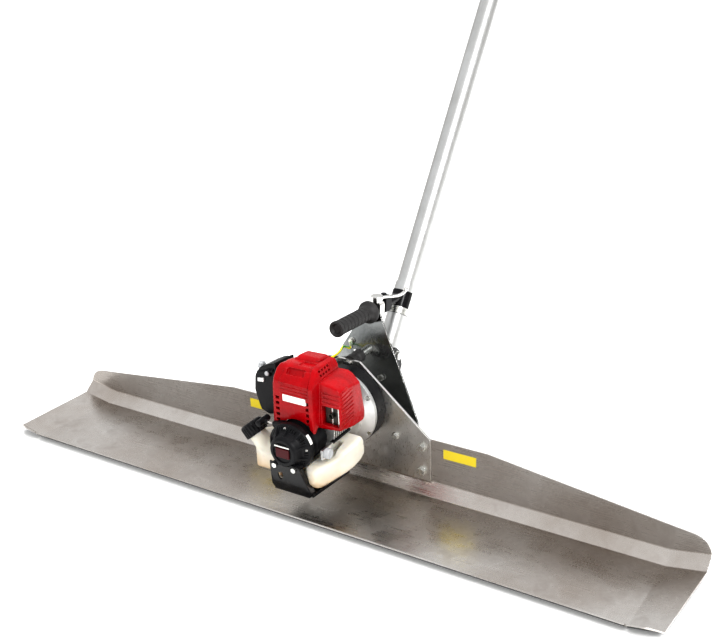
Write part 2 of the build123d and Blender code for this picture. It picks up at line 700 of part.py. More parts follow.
def cover_shape(inset):
    """Outer or inner body of the red cover."""
    side = [(-100, 162), (-106, 262), (-110, 282), (-138, 300), (-172, 298), (-196, 268), (-196, 150),
            (-182, 144)]
    body = prism([(y, z) for y, z in side], Plane.YZ, 200, 8)
    body = Pos(-100, 0, 0) * body
    front = [(-60, 100), (-54, 266), (-34, 290), (-10, 300), (26, 300), (40, 293), (46, 276), (90, 265),
             (90, 100)]
    body = body & Pos(0, 200, 0) * prism(front, Plane.XZ, 500, 6)
    step_cut = block(42, 120, -220, -180, 100, 310)
    body = body - step_cut
    arch = ahead(CASING_RADIUS + 2, 162, 230)
    body = body - arch - block(-14, 14, -176, -160, AXIS + 38, AXIS + 54)
    if not inset:
        return body
    smaller = prism([(y + 3 if y < -150 else y, z - 3) for y, z in side], Plane.YZ, 200, 7)
    smaller = Pos(-100, 0, 0) * smaller
    narrow = [(-70, 90), (-70, 265), (-33, 287), (-9.5, 297), (25.5, 297), (38, 290.5), (44, 273.5),
              (87, 262), (87, 90)]
    smaller = smaller & Pos(0, 200, 0) * prism(narrow, Plane.XZ, 500, 4)
    smaller = smaller - block(39, 120, -220, -177, 100, 310) - ahead(CASING_RADIUS + 4, 162, 230)
    opening = block(-80, 100, -114, -80, 100, 268)
    return smaller + opening


def muffler():
    """Silencer behind the window of the cover."""
    box = block(49, 81, -168, -112, 187, 238)
    box = fillet(box.edges(), 7)
    outlet = rod(6, (66, -166, 205), (66, -178, 205)) - rod(4.6, (66, -170, 205), (66, -180, 205))
    port = block(36, 52, -138, -114, 192, 214)
    return WALL * (box + outlet + port)


def air_box():
    """Base plate of the air cleaner with the inlet pipe to the carburettor."""
    plate = block(-71, -67, -154, -96, 164, 266)
    plate = fillet(plate.edges().filter_by(Axis.X), 14)
    pipe = rod(9, (-66.5, -CYLINDER_AT, 214), (-71.5, -CYLINDER_AT, 214))
    stud = rod(3, (-71, -CYLINDER_AT, 248), (-127.5, -CYLINDER_AT, 248))
    return WALL * (plate - pipe + stud)


def air_filter():
    """Foam block inside the air cleaner."""
    foam = block(-100, -72, -150, -100, 172, 236)
    return WALL * fillet(foam.edges().filter_by(Axis.X), 10)


def air_cover():
    """Black cap of the air cleaner."""
    outer = prism([(-72, 168), (-72, 264), (-84, 270), (-108, 268), (-128, 232), (-130, 196),
                   (-112, 166), (-92, 160)], Plane.XZ.offset(94), 62, 5)
    inner = prism([(-72, 171), (-72, 260), (-86, 266), (-106, 264), (-124, 230), (-126, 198),
                   (-110, 169), (-92, 164)], Plane.XZ.offset(98), 54, 4)
    cap = outer - (inner + block(-76, -70, -150, -100, 168, 262))
    cap = cap - rod(11, (-122.5, -CYLINDER_AT, 248), (-150, -CYLINDER_AT, 248))
    return WALL * (cap - rod(3.5, (-100, -CYLINDER_AT, 248), (-140, -CYLINDER_AT, 248)))


def air_knob():
    """Knob that holds the air cleaner cap."""
    grip = rod(9, (-122.8, -CYLINDER_AT, 248), (-132, -CYLINDER_AT, 248))
    for step in range(8):
        angle = math.radians(45 * step)
        y = -CYLINDER_AT + 10.2 * math.cos(angle)
        z = 248 + 10.2 * math.sin(angle)
        grip = grip - rod(2.4, (-120, y, z), (-133, y, z))
    return WALL * (grip - rod(3 + CLEARANCE, (-119, -CYLINDER_AT, 248), (-128, -CYLINDER_AT, 248)))


def carburettor():
    """Body between inlet port and air cleaner."""
    y = -CYLINDER_AT
    body = block(-66, -36, y - 15, y + 15, 200, 228)
    body = fillet(body.edges().filter_by(Axis.X), 4)
    body = body - rod(8, (-67, y, 214), (-35, y, 214))
    pump = block(-64, -42, y - 13, y + 13, 192, 200) - rod(8.3, (-53, y, 191), (-53, y, 196))
    return WALL * (body + pump)


def throttle_valve():
    """Lever on top of the carburettor, worked by the cable."""
    y = -CYLINDER_AT
    post = rod(3, (-52, y - 8, 228.1), (-52, y - 8, 236))
    arm = block(-55, -49, y - 8, y + 6, 232, 234.5)
    barrel = rod(3, (-52, y + 3, 230.5), (-52, y + 3, 236.5))
    return WALL * (post + arm + barrel)


def choke_lever():
    """Lever on the rear side of the carburettor."""
    y = -CYLINDER_AT + 15.1
    hub = rod(4, (-58, y, 206), (-58, y + 5, 206))
    arm = block(-61, -55, y + 1.5, y + 4.5, 186, 206)
    tab = block(-62, -54, y + 1.5, y + 10, 186, 189)
    return WALL * (hub + arm + tab)


def primer_bulb():
    """Soft dome that is pressed to fill the carburettor."""
    y = -CYLINDER_AT
    dome = Pos(-53, y, 191.5) * Sphere(8)
    dome = dome & block(-70, -40, y - 10, y + 10, 180, 191.5)
    return WALL * dome


# ---------------------------------------------------------------- tank and stand
TANK_NECK = (-102.0, -183.0, 121.0)
TANK_NECK_TILT = 40.0


def neck_frame():
    """Filler neck frame: its z axis leaves the tank, tilted outward."""
    return Location(TANK_NECK, (0, -TANK_NECK_TILT, 0))


def fuel_tank():
    """Translucent U-shaped tank below the crankcase."""
    outline = [(-100, 66), (-60, 50), (56, 50), (98, 76), (100, 128), (84, 142), (62, 138), (60, 98),
               (-62, 98), (-62, 118), (-86, 124), (-114, 112)]
    tank = prism(outline, Plane.XZ.offset(96), 100, 7)
    tank = fillet(tank.faces().sort_by(Axis.Y)[0].edges(), 6)
    nose = prism([(-214, 68), (-190, 60), (-190, 113), (-216, 113), (-222, 104)], Plane.YZ.offset(34), 36, 6)
    neck = neck_frame() * Cylinder(17, 30, align=(Align.CENTER, Align.CENTER, Align.CENTER))
    tank = tank + nose + neck
    tank = tank - neck_frame() * Pos(0, 0, 6) * Cylinder(13, 40)
    tank = tank - ahead(RIM_RADIUS + 3, 150, 235) - block(-58, 58, -235, -206, 112, 120)
    tank = tank - block(50, 110, -210, -172, 114, 150) - block(50, 66, -210, -140, 112, 150)
    return WALL * tank


def cap_gasket():
    """Seal ring between filler neck and cap."""
    ring = Pos(0, 0, 16.2) * (Cylinder(17, 2) - Cylinder(13, 4))
    return WALL * neck_frame() * ring


def fuel_cap():
    """Ribbed cap of the tank, turned off its neck."""
    cap = Pos(0, 0, 8) * Cylinder(24, 26, align=(Align.CENTER, Align.CENTER, Align.MIN))
    cap = fillet(cap.edges().filter_by(GeomType.CIRCLE).sort_by(Axis.Z)[-1], 3)
    hollow = Pos(0, 0, 7) * Cylinder(19, 12, align=(Align.CENTER, Align.CENTER, Align.MIN))
    cap = cap - hollow
    for step in range(24):
        notch = Rot(0, 0, 15 * step) * Pos(25.2, 0, 19) * Cylinder(2, 40)
        cap = cap - notch
    return WALL * neck_frame() * cap


def fuel_hoses():
    """Fuel and return hoses from tank to carburettor."""
    hoses = []
    for shift in (0, 9):
        hoses.append(swept_tube(2.2, [(-74 + shift / 3, -150 + shift, 122), (-68 + shift / 2, -152, 150),
                                      (-60 + shift, -152, 175), (-57 + shift, -146, 192),
                                      (-57 + shift, -140.4, 196)]))
    return WALL * group(*hoses)


def oil_neck():
    """Filler neck that leads forward from the side of the crankcase."""
    arm = block(57, 62, -OIL_AT - 11, -145, OIL_Z - 11, OIL_Z + 9)
    root = block(38, 62, -158, -145, OIL_Z - 11, OIL_Z + 9)
    return arm + root - rod(6.1, (50, -OIL_AT, OIL_Z), (70, -OIL_AT, OIL_Z))


def oil_cap():
    """Oil filler plug with its grip bar."""
    head = rod(10.5, (62.1, -OIL_AT, OIL_Z), (67, -OIL_AT, OIL_Z))
    bar = block(66, 73, -OIL_AT - 2, -OIL_AT + 2, OIL_Z - 9, OIL_Z + 9)
    stem = rod(6.1 - CLEARANCE, (57.5, -OIL_AT, OIL_Z), (62.1, -OIL_AT, OIL_Z))
    return WALL * (head + bar + stem)


def stand():
    """Black sheet guard the engine stands on: a leaning front with side flanges, and a foot."""
    outline = prism([(-44, 45), (-33, 118), (33, 118), (46, 45)], Plane.XZ.offset(200), 60, 4)
    inside = prism([(-41, 40), (-30, 130), (30, 130), (43, 40)], Plane.XZ.offset(190), 80)
    face = prism([(-248, 119), (-244.9, 119), (-224.5, 45), (-227.6, 45)], Plane.YZ.offset(-60), 120)
    flange = prism([(-246.5, 114), (-234, 114), (-210, 46), (-227.5, 46)], Plane.YZ.offset(-60), 120)
    base = prism([(-42, -228), (44, -228), (60, -110), (-60, -110)], Plane.XY.offset(45), 3, 4)
    guard = face & outline
    guard = guard + (flange & outline) - (inside & flange - face) + base
    window = prism([(-21, 76), (-15, 76), (-8, 90), (-10, 96), (-22, 92)], Plane.XZ.offset(215), 40, 2)
    guard = guard - window - ahead(31, 232, 260)
    for x in STAND_BOLT_X:
        guard = guard - ahead(3.2, 225, 260, x, STAND_BOLT_Z)
        guard = guard - ahead(11, STAND_FRONT, 260, x, STAND_BOLT_Z)
        guard = guard - ahead(8, 225, STAND_FRONT - 3, x, STAND_BOLT_Z)
    return WALL * guard


# ---------------------------------------------------------------- handle and pole
def handle_tube():
    """Horizontal tube through the handle plate, ending in a saddle on the pole socket."""
    end_y = pole_point(0, TUBE_Z)
    tube = rod(TUBE_RADIUS, (0, GRIP_FRONT_Y + 4, TUBE_Z), (0, end_y, TUBE_Z))
    bore = rod(TUBE_RADIUS - 2, (0, GRIP_FRONT_Y, TUBE_Z), (0, end_y - 30, TUBE_Z))
    socket = POLE * Cylinder(POLE_RADIUS + SOCKET_WALL + 0.05, 600)
    saddle = POLE * Pos(0, 0, saddle_place()) * Cylinder(POLE_RADIUS + SOCKET_WALL + 1.1, 52)
    front_half = POLE * Pos(0, -30, saddle_place()) * Box(120, 60, 60)
    return tube - bore + (saddle & front_half) - socket


def pole_point(side, z):
    """Y of the pole's axis at a height, moved sideways by a distance."""
    return SOCKET_BOLT[0] + side + (z - SOCKET_BOLT[1]) / math.tan(math.radians(POLE_ANGLE))


def saddle_place():
    """Distance from socket bolt to the middle of the saddle, along the pole."""
    return (TUBE_Z - SOCKET_BOLT[1]) / math.sin(math.radians(POLE_ANGLE)) - 20


def handle_grip():
    """Ribbed rubber grip with a flange."""
    length = GRIP_LENGTH
    profile = [(TUBE_RADIUS, 0), (GRIP_RADIUS - 1, 0), (GRIP_RADIUS, 3), (GRIP_RADIUS, length - 12),
               (24, length - 7), (24, length), (TUBE_RADIUS, length)]
    grip = turned_y(profile, 0, GRIP_FRONT_Y, TUBE_Z)
    cap = rod(GRIP_RADIUS - 1, (0, GRIP_FRONT_Y - 3, TUBE_Z), (0, GRIP_FRONT_Y, TUBE_Z))
    grip = grip + cap
    for step in range(9):
        y = GRIP_FRONT_Y + 12 + 11 * step
        groove = turned_y([(GRIP_RADIUS - 1.2, 0), (GRIP_RADIUS + 2, 0), (GRIP_RADIUS + 2, 3),
                           (GRIP_RADIUS - 1.2, 3)], 0, y, TUBE_Z)
        grip = grip - groove
    return grip


LEVER_Y = 215.0                  # throttle lever's clamp on the tube
LEVER_PIVOT_Z = 362.0


def lever_clamp():
    """Two-part metal clamp on the tube with a post for the throttle lever."""
    body = block(-14, 14, LEVER_Y - 9, LEVER_Y + 9, TUBE_Z - 14, TUBE_Z + 15)
    body = fillet(body.edges().filter_by(Axis.Y), 6)
    body = body - rod(TUBE_RADIUS + 0.02, (0, LEVER_Y - 20, TUBE_Z), (0, LEVER_Y + 20, TUBE_Z))
    post = rod(12, (0, LEVER_Y, TUBE_Z + 14), (0, LEVER_Y, LEVER_PIVOT_Z - 4))
    pin = rod(4, (0, LEVER_Y, LEVER_PIVOT_Z - 4), (0, LEVER_Y, LEVER_PIVOT_Z + 4))
    return body + post + pin


def throttle_lever():
    """Bent metal lever on the clamp's post, with a curled end."""
    hub = rod(13, (0, LEVER_Y, LEVER_PIVOT_Z - 3.95), (0, LEVER_Y, LEVER_PIVOT_Z + 6))
    hub = fillet(hub.edges().filter_by(GeomType.CIRCLE).sort_by(Axis.Z)[-1], 3)
    arm_path = Spline((8, LEVER_Y + 6, LEVER_PIVOT_Z), (21, LEVER_Y + 21, LEVER_PIVOT_Z + 1),
                      (33, LEVER_Y + 35, LEVER_PIVOT_Z + 2), (42, LEVER_Y + 47, LEVER_PIVOT_Z + 11))
    start = Plane(origin=arm_path @ 0, x_dir=(0, 0, 1), z_dir=arm_path % 0)
    arm = sweep(start * RectangleRounded(4, 9, 1.5), arm_path)
    end = arm_path @ 1
    curl = Pos(end.X, end.Y, end.Z + 2) * Sphere(5)
    bore = rod(4 + CLEARANCE, (0, LEVER_Y, LEVER_PIVOT_Z - 5), (0, LEVER_Y, LEVER_PIVOT_Z + 4.3))
    return hub + arm + curl - bore


def cable_hole_place():
    """X and Z of the hole in the handle plate that the throttle cable passes through."""
    return (-30.0, 244.0)


def throttle_cable():
    """Cable from the lever's clamp down behind the handle plate, through it, to the carburettor."""
    end = WALL * Pos(-52, -CYLINDER_AT + 7.5, 233.5)
    last = WALL * Pos(-58, -72, 240)
    x, z = cable_hole_place()
    y = handle_front(z)
    points = [(-15.5, LEVER_Y, TUBE_Z + 4), (-33, LEVER_Y + 2, TUBE_Z - 3),
              (-37, LEVER_Y + 13, TUBE_Z - 24), (x, y + 22, z + 24),
              (x, y + 3, z), (x - 8, y - 26, z - 4), (-52, 112, 254),
              (last.position.X, last.position.Y, last.position.Z),
              (end.position.X, end.position.Y, end.position.Z)]
    return swept_tube(2.6, points)


def stop_switch():
    """Engine stop switch body on the tube, behind the lever."""
    body = block(-13, 13, 232, 256, TUBE_Z - 14, TUBE_Z + 20)
    body = fillet(body.edges().filter_by(Axis.Y), 5)
    body = body - rod(TUBE_RADIUS + 0.02, (0, 220, TUBE_Z), (0, 270, TUBE_Z))
    return body - rod(6 + CLEARANCE, (0, 244, TUBE_Z + 13.5), (0, 244, TUBE_Z + 30))


def stop_button():
    """Push button of the stop switch."""
    return rod(6, (0, 244, TUBE_Z + 17.6), (0, 244, TUBE_Z + 25))


def earth_lug_place():
    """X and Z of the earth screw on the handle plate."""
    return (-41.0, 268.0)


def earth_wire():
    """Yellow and green earth wire with its lug and screw."""
    x, z = earth_lug_place()
    y = handle_front(z)
    lug_hole = rod(3.1, (x, y - 10, z), (x, y + 10, z))
    plane = Pos(x, y - 1.6, z) * Rot(-HANDLE_LEAN, 0, 0)
    lug = plane * (Rot(90, 0, 0) * Cylinder(7, 1.6) + Pos(-2, 0, -11) * Box(7, 1.6, 16)) - lug_hole
    engine_end = WALL * Pos(-36, -88, 240)
    wire = swept_tube(2.4, [(x - 3, y - 5.4, z - 15), (x - 9, y - 20, z - 9), (x - 2, y - 46, z - 10),
                            (x + 5, 111, z - 8),
                            (engine_end.position.X, engine_end.position.Y, engine_end.position.Z)])
    return group(before_plate(lug), wire)


def bracket_bolt_places():
    """X and Z of the four bolts that hold the pole bracket on the handle plate."""
    return [(x, z) for x in (-38, 38) for z in (178, 206)]


def pole_bracket():
    """Black bracket behind the handle plate: a back web and two ears for the pole socket."""
    ear = [(170, 160), (230, 150), (268, 172), (282, 196), (270, 232), (252, 246), (236, 240),
           (180, 226)]
    ear_plate = Pos(23, 0, 0) * prism(ear, Plane.YZ, 4, 8)
    shelf = block(-52, 52, 150, 400, 160, 226)
    lean = math.radians(HANDLE_LEAN)
    rear = HANDLE_SHEET / math.cos(lean) + 0.01
    thick = 4.2
    corners = [(handle_front(z) + rear + extra, z) for z, extra in
               ((160, 0), (226, 0), (226, thick), (160, thick))]
    web = Pos(-52, 0, 0) * prism(corners, Plane.YZ, 104)
    body = (web & shelf) + behind_plate(ear_plate) + behind_plate(mirrored(ear_plate))
    for x, z in bracket_bolt_places():
        body = body - rod(4.3, (x, 150, z), (x, 215, z))
    return body - rod(5.2, (-40, *SOCKET_BOLT), (40, *SOCKET_BOLT))


def handle_bolts():
    """Bolts of the pole bracket, the long bolt across the pole socket and the earth screw."""
    x, z = earth_lug_place()
    y = handle_front(z)
    pieces = [bolt(6, (x, y - 3.4, z), (x, y + 14, z)),
              nut(6, (x, y + HANDLE_SHEET + 2, z), (0, 1, 0))]
    for x, z in bracket_bolt_places():
        front = handle_front(z) - 1.4
        pieces.append(bolt(8, (x, front, z), (x, front + 24, z)))
        pieces.append(nut(8, (x, front + 11.4, z), (0, 1, 0)))
    pieces.append(bolt(10, (28.8, *SOCKET_BOLT), (-40, *SOCKET_BOLT)))
    pieces.append(washer(10, (27.1, *SOCKET_BOLT), (1, 0, 0)))
    pieces.append(washer(10, (-27.1, *SOCKET_BOLT), (-1, 0, 0)))
    pieces.append(nut(10, (-28.8, *SOCKET_BOLT), (-1, 0, 0)))
    return group(*pieces)


def pole_socket():
    """Short tube that takes the pole, with a slit below the hose clamp."""
    outer = POLE_RADIUS + SOCKET_WALL
    length = SOCKET_ABOVE_BOLT + SOCKET_BELOW_BOLT
    middle = (SOCKET_ABOVE_BOLT - SOCKET_BELOW_BOLT) / 2
    tube = Pos(0, 0, middle) * (Cylinder(outer, length) - Cylinder(POLE_RADIUS + CLEARANCE, length + 2))
    slit = Pos(0, outer, SOCKET_ABOVE_BOLT - 45) * Box(3, 20, 92)
    return POLE * (tube - slit) - rod(5.2, (-40, *SOCKET_BOLT), (40, *SOCKET_BOLT))


def hose_clamp():
    """Worm-drive band around socket and saddle, with its screw housing."""
    inner = POLE_RADIUS + SOCKET_WALL + 1.15
    edge, flat = inner + 1.6, inner + 0.9
    outline = [(inner, -7.3), (edge, -7.3), (edge, -5.7), (flat, -5.7), (flat, 5.7), (edge, 5.7),
               (edge, 7.3), (inner, 7.3)]
    band = revolve(make_face(Polyline(*[(r, 0, z) for r, z in outline], close=True)), Axis.Z)
    turn = Rot(0, 0, -35)
    house = turn * Pos(0, -inner - 4, 0) * Box(15, 8, 13.5) - Cylinder(inner, 30)
    screw = turn * Pos(10, -inner - 4.2, 0) * Rot(0, 90, 0) * Cylinder(3.8, 12)
    return POLE * Pos(0, 0, saddle_place() - 18) * (band + house + screw)


def pole_tube():
    """Aluminium pole, pushed into the socket."""
    start = 10.0
    tube = Pos(0, 0, start + POLE_LENGTH / 2) * (
        Cylinder(POLE_RADIUS, POLE_LENGTH) - Cylinder(POLE_RADIUS - POLE_WALL, POLE_LENGTH + 2))
    return POLE * tube


def pole_cap():
    """Plastic plug in the upper end of the pole."""
    top = 10.0 + POLE_LENGTH
    plug = Pos(0, 0, top - 12) * Cylinder(POLE_RADIUS - POLE_WALL, 24)
    lid = Pos(0, 0, top + 2.5) * Cylinder(POLE_RADIUS + 1, 5)
    lid = fillet(lid.edges().filter_by(GeomType.CIRCLE).sort_by(Axis.Z)[-1], 2)
    return POLE * (plug + lid)


NODES = [
    blade, labels, engine_plate, plate_bolts, isolators, handle_plate, top_spacer, exciter_housing,
    exciter_cover, engine_screws, bearings, eccentric_shaft, clutch_drum, clutch_shoes, clutch_housing,
    crankcase, cylinder, valve_cover, spark_plug, plug_cap, piston, crankshaft, flywheel, ignition_coil,
    recoil_housing, starter_badge, starter_pulley, recoil_spring, starter_rope, starter_handle,
    top_cover, muffler, air_box, air_filter, air_cover, air_knob, carburettor, throttle_valve,
    choke_lever, primer_bulb, fuel_tank, cap_gasket, fuel_cap, fuel_hoses, oil_cap, stand, handle_tube,
    handle_grip, lever_clamp, throttle_lever, throttle_cable, stop_switch, stop_button, earth_wire,
    pole_bracket, handle_bolts, pole_socket, hose_clamp, pole_tube, pole_cap]

os.makedirs("parts", exist_ok=True)
for make in NODES:
    export_step(make(), f"parts/{make.__name__}.step")
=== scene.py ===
"""Looks of the power screed: studio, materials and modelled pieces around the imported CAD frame.

Lengths in the helpers below are millimetres in the wall frame (x along the blade, d ahead of the
blade's wall, z up the wall), because engine, exciter and plates are bolted to that wall.
WALL turns that frame into the row frame, in metres.
"""
import json
import math

import bmesh
import bpy
from mathutils import Matrix, Vector

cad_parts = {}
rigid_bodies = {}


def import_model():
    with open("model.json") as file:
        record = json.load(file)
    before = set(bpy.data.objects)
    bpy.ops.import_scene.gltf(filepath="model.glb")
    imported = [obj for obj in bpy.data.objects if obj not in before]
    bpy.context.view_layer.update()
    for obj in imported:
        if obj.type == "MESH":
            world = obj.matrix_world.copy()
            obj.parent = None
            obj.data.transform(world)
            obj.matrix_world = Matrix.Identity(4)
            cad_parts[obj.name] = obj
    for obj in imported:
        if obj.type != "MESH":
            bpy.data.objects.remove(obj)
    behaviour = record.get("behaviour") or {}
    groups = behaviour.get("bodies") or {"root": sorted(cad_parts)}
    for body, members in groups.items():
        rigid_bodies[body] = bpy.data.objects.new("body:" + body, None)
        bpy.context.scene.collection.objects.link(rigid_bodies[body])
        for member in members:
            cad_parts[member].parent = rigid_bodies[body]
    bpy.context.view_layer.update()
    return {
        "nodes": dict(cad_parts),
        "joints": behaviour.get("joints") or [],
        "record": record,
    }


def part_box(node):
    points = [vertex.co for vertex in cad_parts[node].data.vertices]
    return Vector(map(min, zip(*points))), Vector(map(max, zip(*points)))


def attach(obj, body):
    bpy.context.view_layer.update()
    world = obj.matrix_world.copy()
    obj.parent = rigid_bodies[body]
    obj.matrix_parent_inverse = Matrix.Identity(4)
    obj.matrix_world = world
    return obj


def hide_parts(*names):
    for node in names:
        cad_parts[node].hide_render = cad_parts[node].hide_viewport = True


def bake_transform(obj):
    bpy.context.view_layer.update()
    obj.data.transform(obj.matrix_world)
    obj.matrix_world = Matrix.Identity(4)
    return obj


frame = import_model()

JOINTS = {joint["name"]: joint for joint in frame["joints"]}
NODES = frame["nodes"]

# ---------------------------------------------------------------- frames
CRANK_UP_WALL = 145.0                     # crankshaft height up the wall
MM = Matrix.Scale(0.001, 4)


def wall_frame():
    """Matrix from wall millimetres (x, -d, z) to row metres, from the crankshaft's joint."""
    crank = JOINTS["crank_spin"]
    back = Vector(crank["axis"])
    right = Vector((1, 0, 0))
    up = right.cross(back)
    origin = Vector(crank["pos_m"]) - up * CRANK_UP_WALL * 0.001
    turn = Matrix((right, back, up)).transposed().to_4x4()
    return Matrix.Translation(origin) @ turn @ MM


WALL = wall_frame()


def seat_ahead(x, z):
    """Matrix whose z axis runs ahead of the wall from the wall point (x, z), in millimetres."""
    return WALL @ Matrix.Translation((x, 0, z)) @ Matrix.Rotation(math.radians(90), 4, "X")


def seat_left(d, z):
    """Matrix whose z axis runs left along the wall, d ahead of it and z up it, in millimetres."""
    return WALL @ Matrix.Translation((0, -d, z)) @ Matrix.Rotation(math.radians(-90), 4, "Y")


CRANK = seat_ahead(0, CRANK_UP_WALL)
POLE_AXIS = Vector(JOINTS["pole_slide"]["axis"])
POLE_TILT = math.degrees(math.atan2(POLE_AXIS.y, POLE_AXIS.z))


# ---------------------------------------------------------------- material kit
class Shader:
    """Small helper that adds and links the nodes of one material."""

    def __init__(self, name):
        self.material = bpy.data.materials.new(name)
        self.material.use_nodes = True
        self.tree = self.material.node_tree
        self.tree.nodes.clear()
        self.place = self.add("TexCoord").outputs["Object"]

    def add(self, kind, **values):
        """Adds a ShaderNode; a value sets an input, and a socket given as value is linked."""
        node = self.tree.nodes.new("ShaderNode" + kind)
        for key, value in values.items():
            name = key.replace("_", " ")
            if key[0].islower():
                setattr(node, key, value)
            elif isinstance(value, bpy.types.NodeSocket):
                self.tree.links.new(value, node.inputs[name])
            else:
                node.inputs[name].default_value = value
        return node

    def stretch(self, x, y, z):
        """Object coordinates scaled along each axis."""
        return self.add("Mapping", Vector=self.place, Scale=(x, y, z)).outputs[0]

    def noise(self, scale, detail=3.0, rough=0.55, vector=None):
        """Value of a noise texture, about 0.5 on average."""
        node = self.add("TexNoise", Vector=vector or self.place, Scale=scale, Detail=detail,
                        Roughness=rough)
        return node.outputs["Fac"]

    def ramp(self, value, low, high, start=0.0, end=1.0):
        """Maps low..high to start..end, clamped."""
        node = self.add("MapRange", Value=value)
        for slot, number in zip(("From Min", "From Max", "To Min", "To Max"), (low, high, start, end)):
            node.inputs[slot].default_value = number
        return node.outputs["Result"]

    def math(self, operation, a, b=None):
        """One maths operation on sockets or numbers."""
        node = self.add("Math", operation=operation)
        for index, value in enumerate((a, b)):
            if isinstance(value, bpy.types.NodeSocket):
                self.tree.links.new(value, node.inputs[index])
            elif value is not None:
                node.inputs[index].default_value = value
        return node.outputs[0]

    def mix(self, share, a, b):
        """Mixes two colours, each a socket or an RGB tuple."""
        node = self.add("Mix", data_type="RGBA")
        for slot, value in (("Factor", share), ("A", a), ("B", b)):
            sockets = [s for s in node.inputs if s.name == slot and s.enabled]
            socket = sockets[-1]
            if isinstance(value, bpy.types.NodeSocket):
                self.tree.links.new(value, socket)
            else:
                socket.default_value = (*value, 1.0) if slot != "Factor" else value
        return [s for s in node.outputs if s.enabled][0]

    def soft(self, radius_mm):
        """Normal rounded over edges by a radius."""
        return self.add("Bevel", samples=4, Radius=radius_mm * 0.001).outputs[0]

    def edge(self, radius_mm, low=0.03, high=0.25):
        """1 along edges, 0 on flats."""
        face = self.add("NewGeometry").outputs["Normal"]
        dot = self.add("VectorMath", operation="DOT_PRODUCT")
        self.tree.links.new(self.soft(radius_mm), dot.inputs[0])
        self.tree.links.new(face, dot.inputs[1])
        return self.ramp(dot.outputs["Value"], 1.0 - low, 1.0 - high)

    def bump(self, height, strength, distance_mm, normal=None):
        """Bump from a height socket, on top of a normal."""
        node = self.add("Bump", Height=height, Strength=strength, Distance=distance_mm * 0.001)
        if normal is not None:
            self.tree.links.new(normal, node.inputs["Normal"])
        return node.outputs[0]

    def facing(self, low, high):
        """0 where the true surface looks up, 1 where it looks down."""
        face = self.add("NewGeometry").outputs["True Normal"]
        split = self.add("SeparateXYZ", Vector=face)
        return self.ramp(split.outputs["Z"], low, high)

    def stained(self, tone, colour, value, low, high, share):
        """Lays a colour over a tone where a value rises from low to high, up to a share."""
        return self.mix(self.math("MULTIPLY", self.ramp(value, low, high), share), tone, colour)

    def edge_wear_and_highlight(self, tone, colour, radius_mm, share):
        """Lays a colour over a tone along its edges, up to a share: edge wear, and on the red plastic a
        painted highlight.
        """
        return self.mix(self.math("MULTIPLY", self.edge(radius_mm), share), tone, colour)

    def surface(self, **values):
        """Finishes the material with a Principled surface."""
        shader = self.add("BsdfPrincipled", **values)
        self.add("OutputMaterial", Surface=shader.outputs[0])
        return self.material


# ---------------------------------------------------------------- metals
def blade_steel():
    """Rolled steel sheet: long grain, cement bloom and stains; pale edges, partly painted highlight;
    painted shade makes the underside nearly black.
    """
    s = Shader("blade_steel")
    grain = s.noise(14.0, 6.0, 0.6, s.stretch(1.0, 55.0, 55.0))
    cloud = s.noise(4.2, 5.0, 0.6)
    stain = s.noise(17.0, 7.0, 0.68)
    tone = s.mix(s.ramp(cloud, 0.36, 0.64), (0.46, 0.41, 0.37), (0.66, 0.63, 0.60))
    tone = s.stained(tone, (0.24, 0.19, 0.16), stain, 0.52, 0.78, 0.45)
    tone = s.stained(tone, (0.6, 0.58, 0.55), s.noise(150.0, 2.0), 0.70, 0.76, 0.5)
    # Pale edges: partly the bright cut edge of the sheet, partly a painted highlight.
    tone = s.mix(s.edge(1.2), tone, (0.72, 0.70, 0.68))
    # Painted shade: faces that look down are made nearly black, rough and not metallic, in place of the
    # shadow under the sheet.
    painted_underside_shade = s.facing(-0.02, -0.2)
    tone = s.mix(painted_underside_shade, tone, (0.010, 0.009, 0.008))
    rough = s.math("ADD", s.ramp(grain, 0.3, 0.7, 0.20, 0.34), s.ramp(stain, 0.45, 0.75, 0.0, 0.16))
    rough = s.math("MAXIMUM", rough, s.math("MULTIPLY", painted_underside_shade, 0.7))
    normal = s.bump(grain, 0.18, 0.25, s.bump(cloud, 0.25, 6.0, s.soft(1.0)))
    return s.surface(Base_Color=tone, Roughness=rough, Metallic=s.math("SUBTRACT", 1.0, painted_underside_shade),
                     Normal=normal)


def plate_steel(name, dark, light, rough_low, rough_high):
    """Cut steel plate with a fine cross grain, handling marks and bright edges."""
    s = Shader(name)
    grain = s.noise(16.0, 6.0, 0.6, s.stretch(60.0, 60.0, 1.0))
    cloud = s.noise(8.0, 5.0, 0.6)
    marks = s.noise(42.0, 8.0, 0.7)
    tone = s.mix(s.ramp(cloud, 0.34, 0.66), dark, light)
    tone = s.stained(tone, tuple(0.5 * v for v in dark), marks, 0.58, 0.80, 0.4)
    tone = s.mix(s.edge(1.5), tone, (0.92, 0.91, 0.89))
    rough = s.math("ADD", s.ramp(grain, 0.3, 0.7, rough_low, rough_high),
                   s.ramp(marks, 0.5, 0.8, 0.0, 0.15))
    normal = s.bump(grain, 0.12, 0.2, s.bump(cloud, 0.2, 4.0, s.soft(0.8)))
    return s.surface(Base_Color=tone, Roughness=rough, Metallic=1.0, Normal=normal)


def bare_metal(name, colour, rough, grain_scale=220.0, grain=0.25, edge_colour=(0.9, 0.9, 0.9)):
    """Turned, cast or plated metal with a fine grain, grime in patches and bright edges."""
    s = Shader(name)
    fine = s.noise(grain_scale, 4.0, 0.6)
    patch = s.noise(26.0, 6.0, 0.65)
    grime = tuple(0.45 * v for v in colour)
    tone = s.stained(colour, grime, patch, 0.5, 0.78, 0.55)
    tone = s.edge_wear_and_highlight(tone, edge_colour, 0.8, 0.7)
    roughness = s.math("ADD", s.ramp(fine, 0.3, 0.7, rough - 0.06, rough + 0.06),
                       s.ramp(patch, 0.5, 0.8, 0.0, 0.18))
    return s.surface(Base_Color=tone, Roughness=roughness, Metallic=1.0,
                     Normal=s.bump(fine, grain, 0.25, s.soft(0.5)))


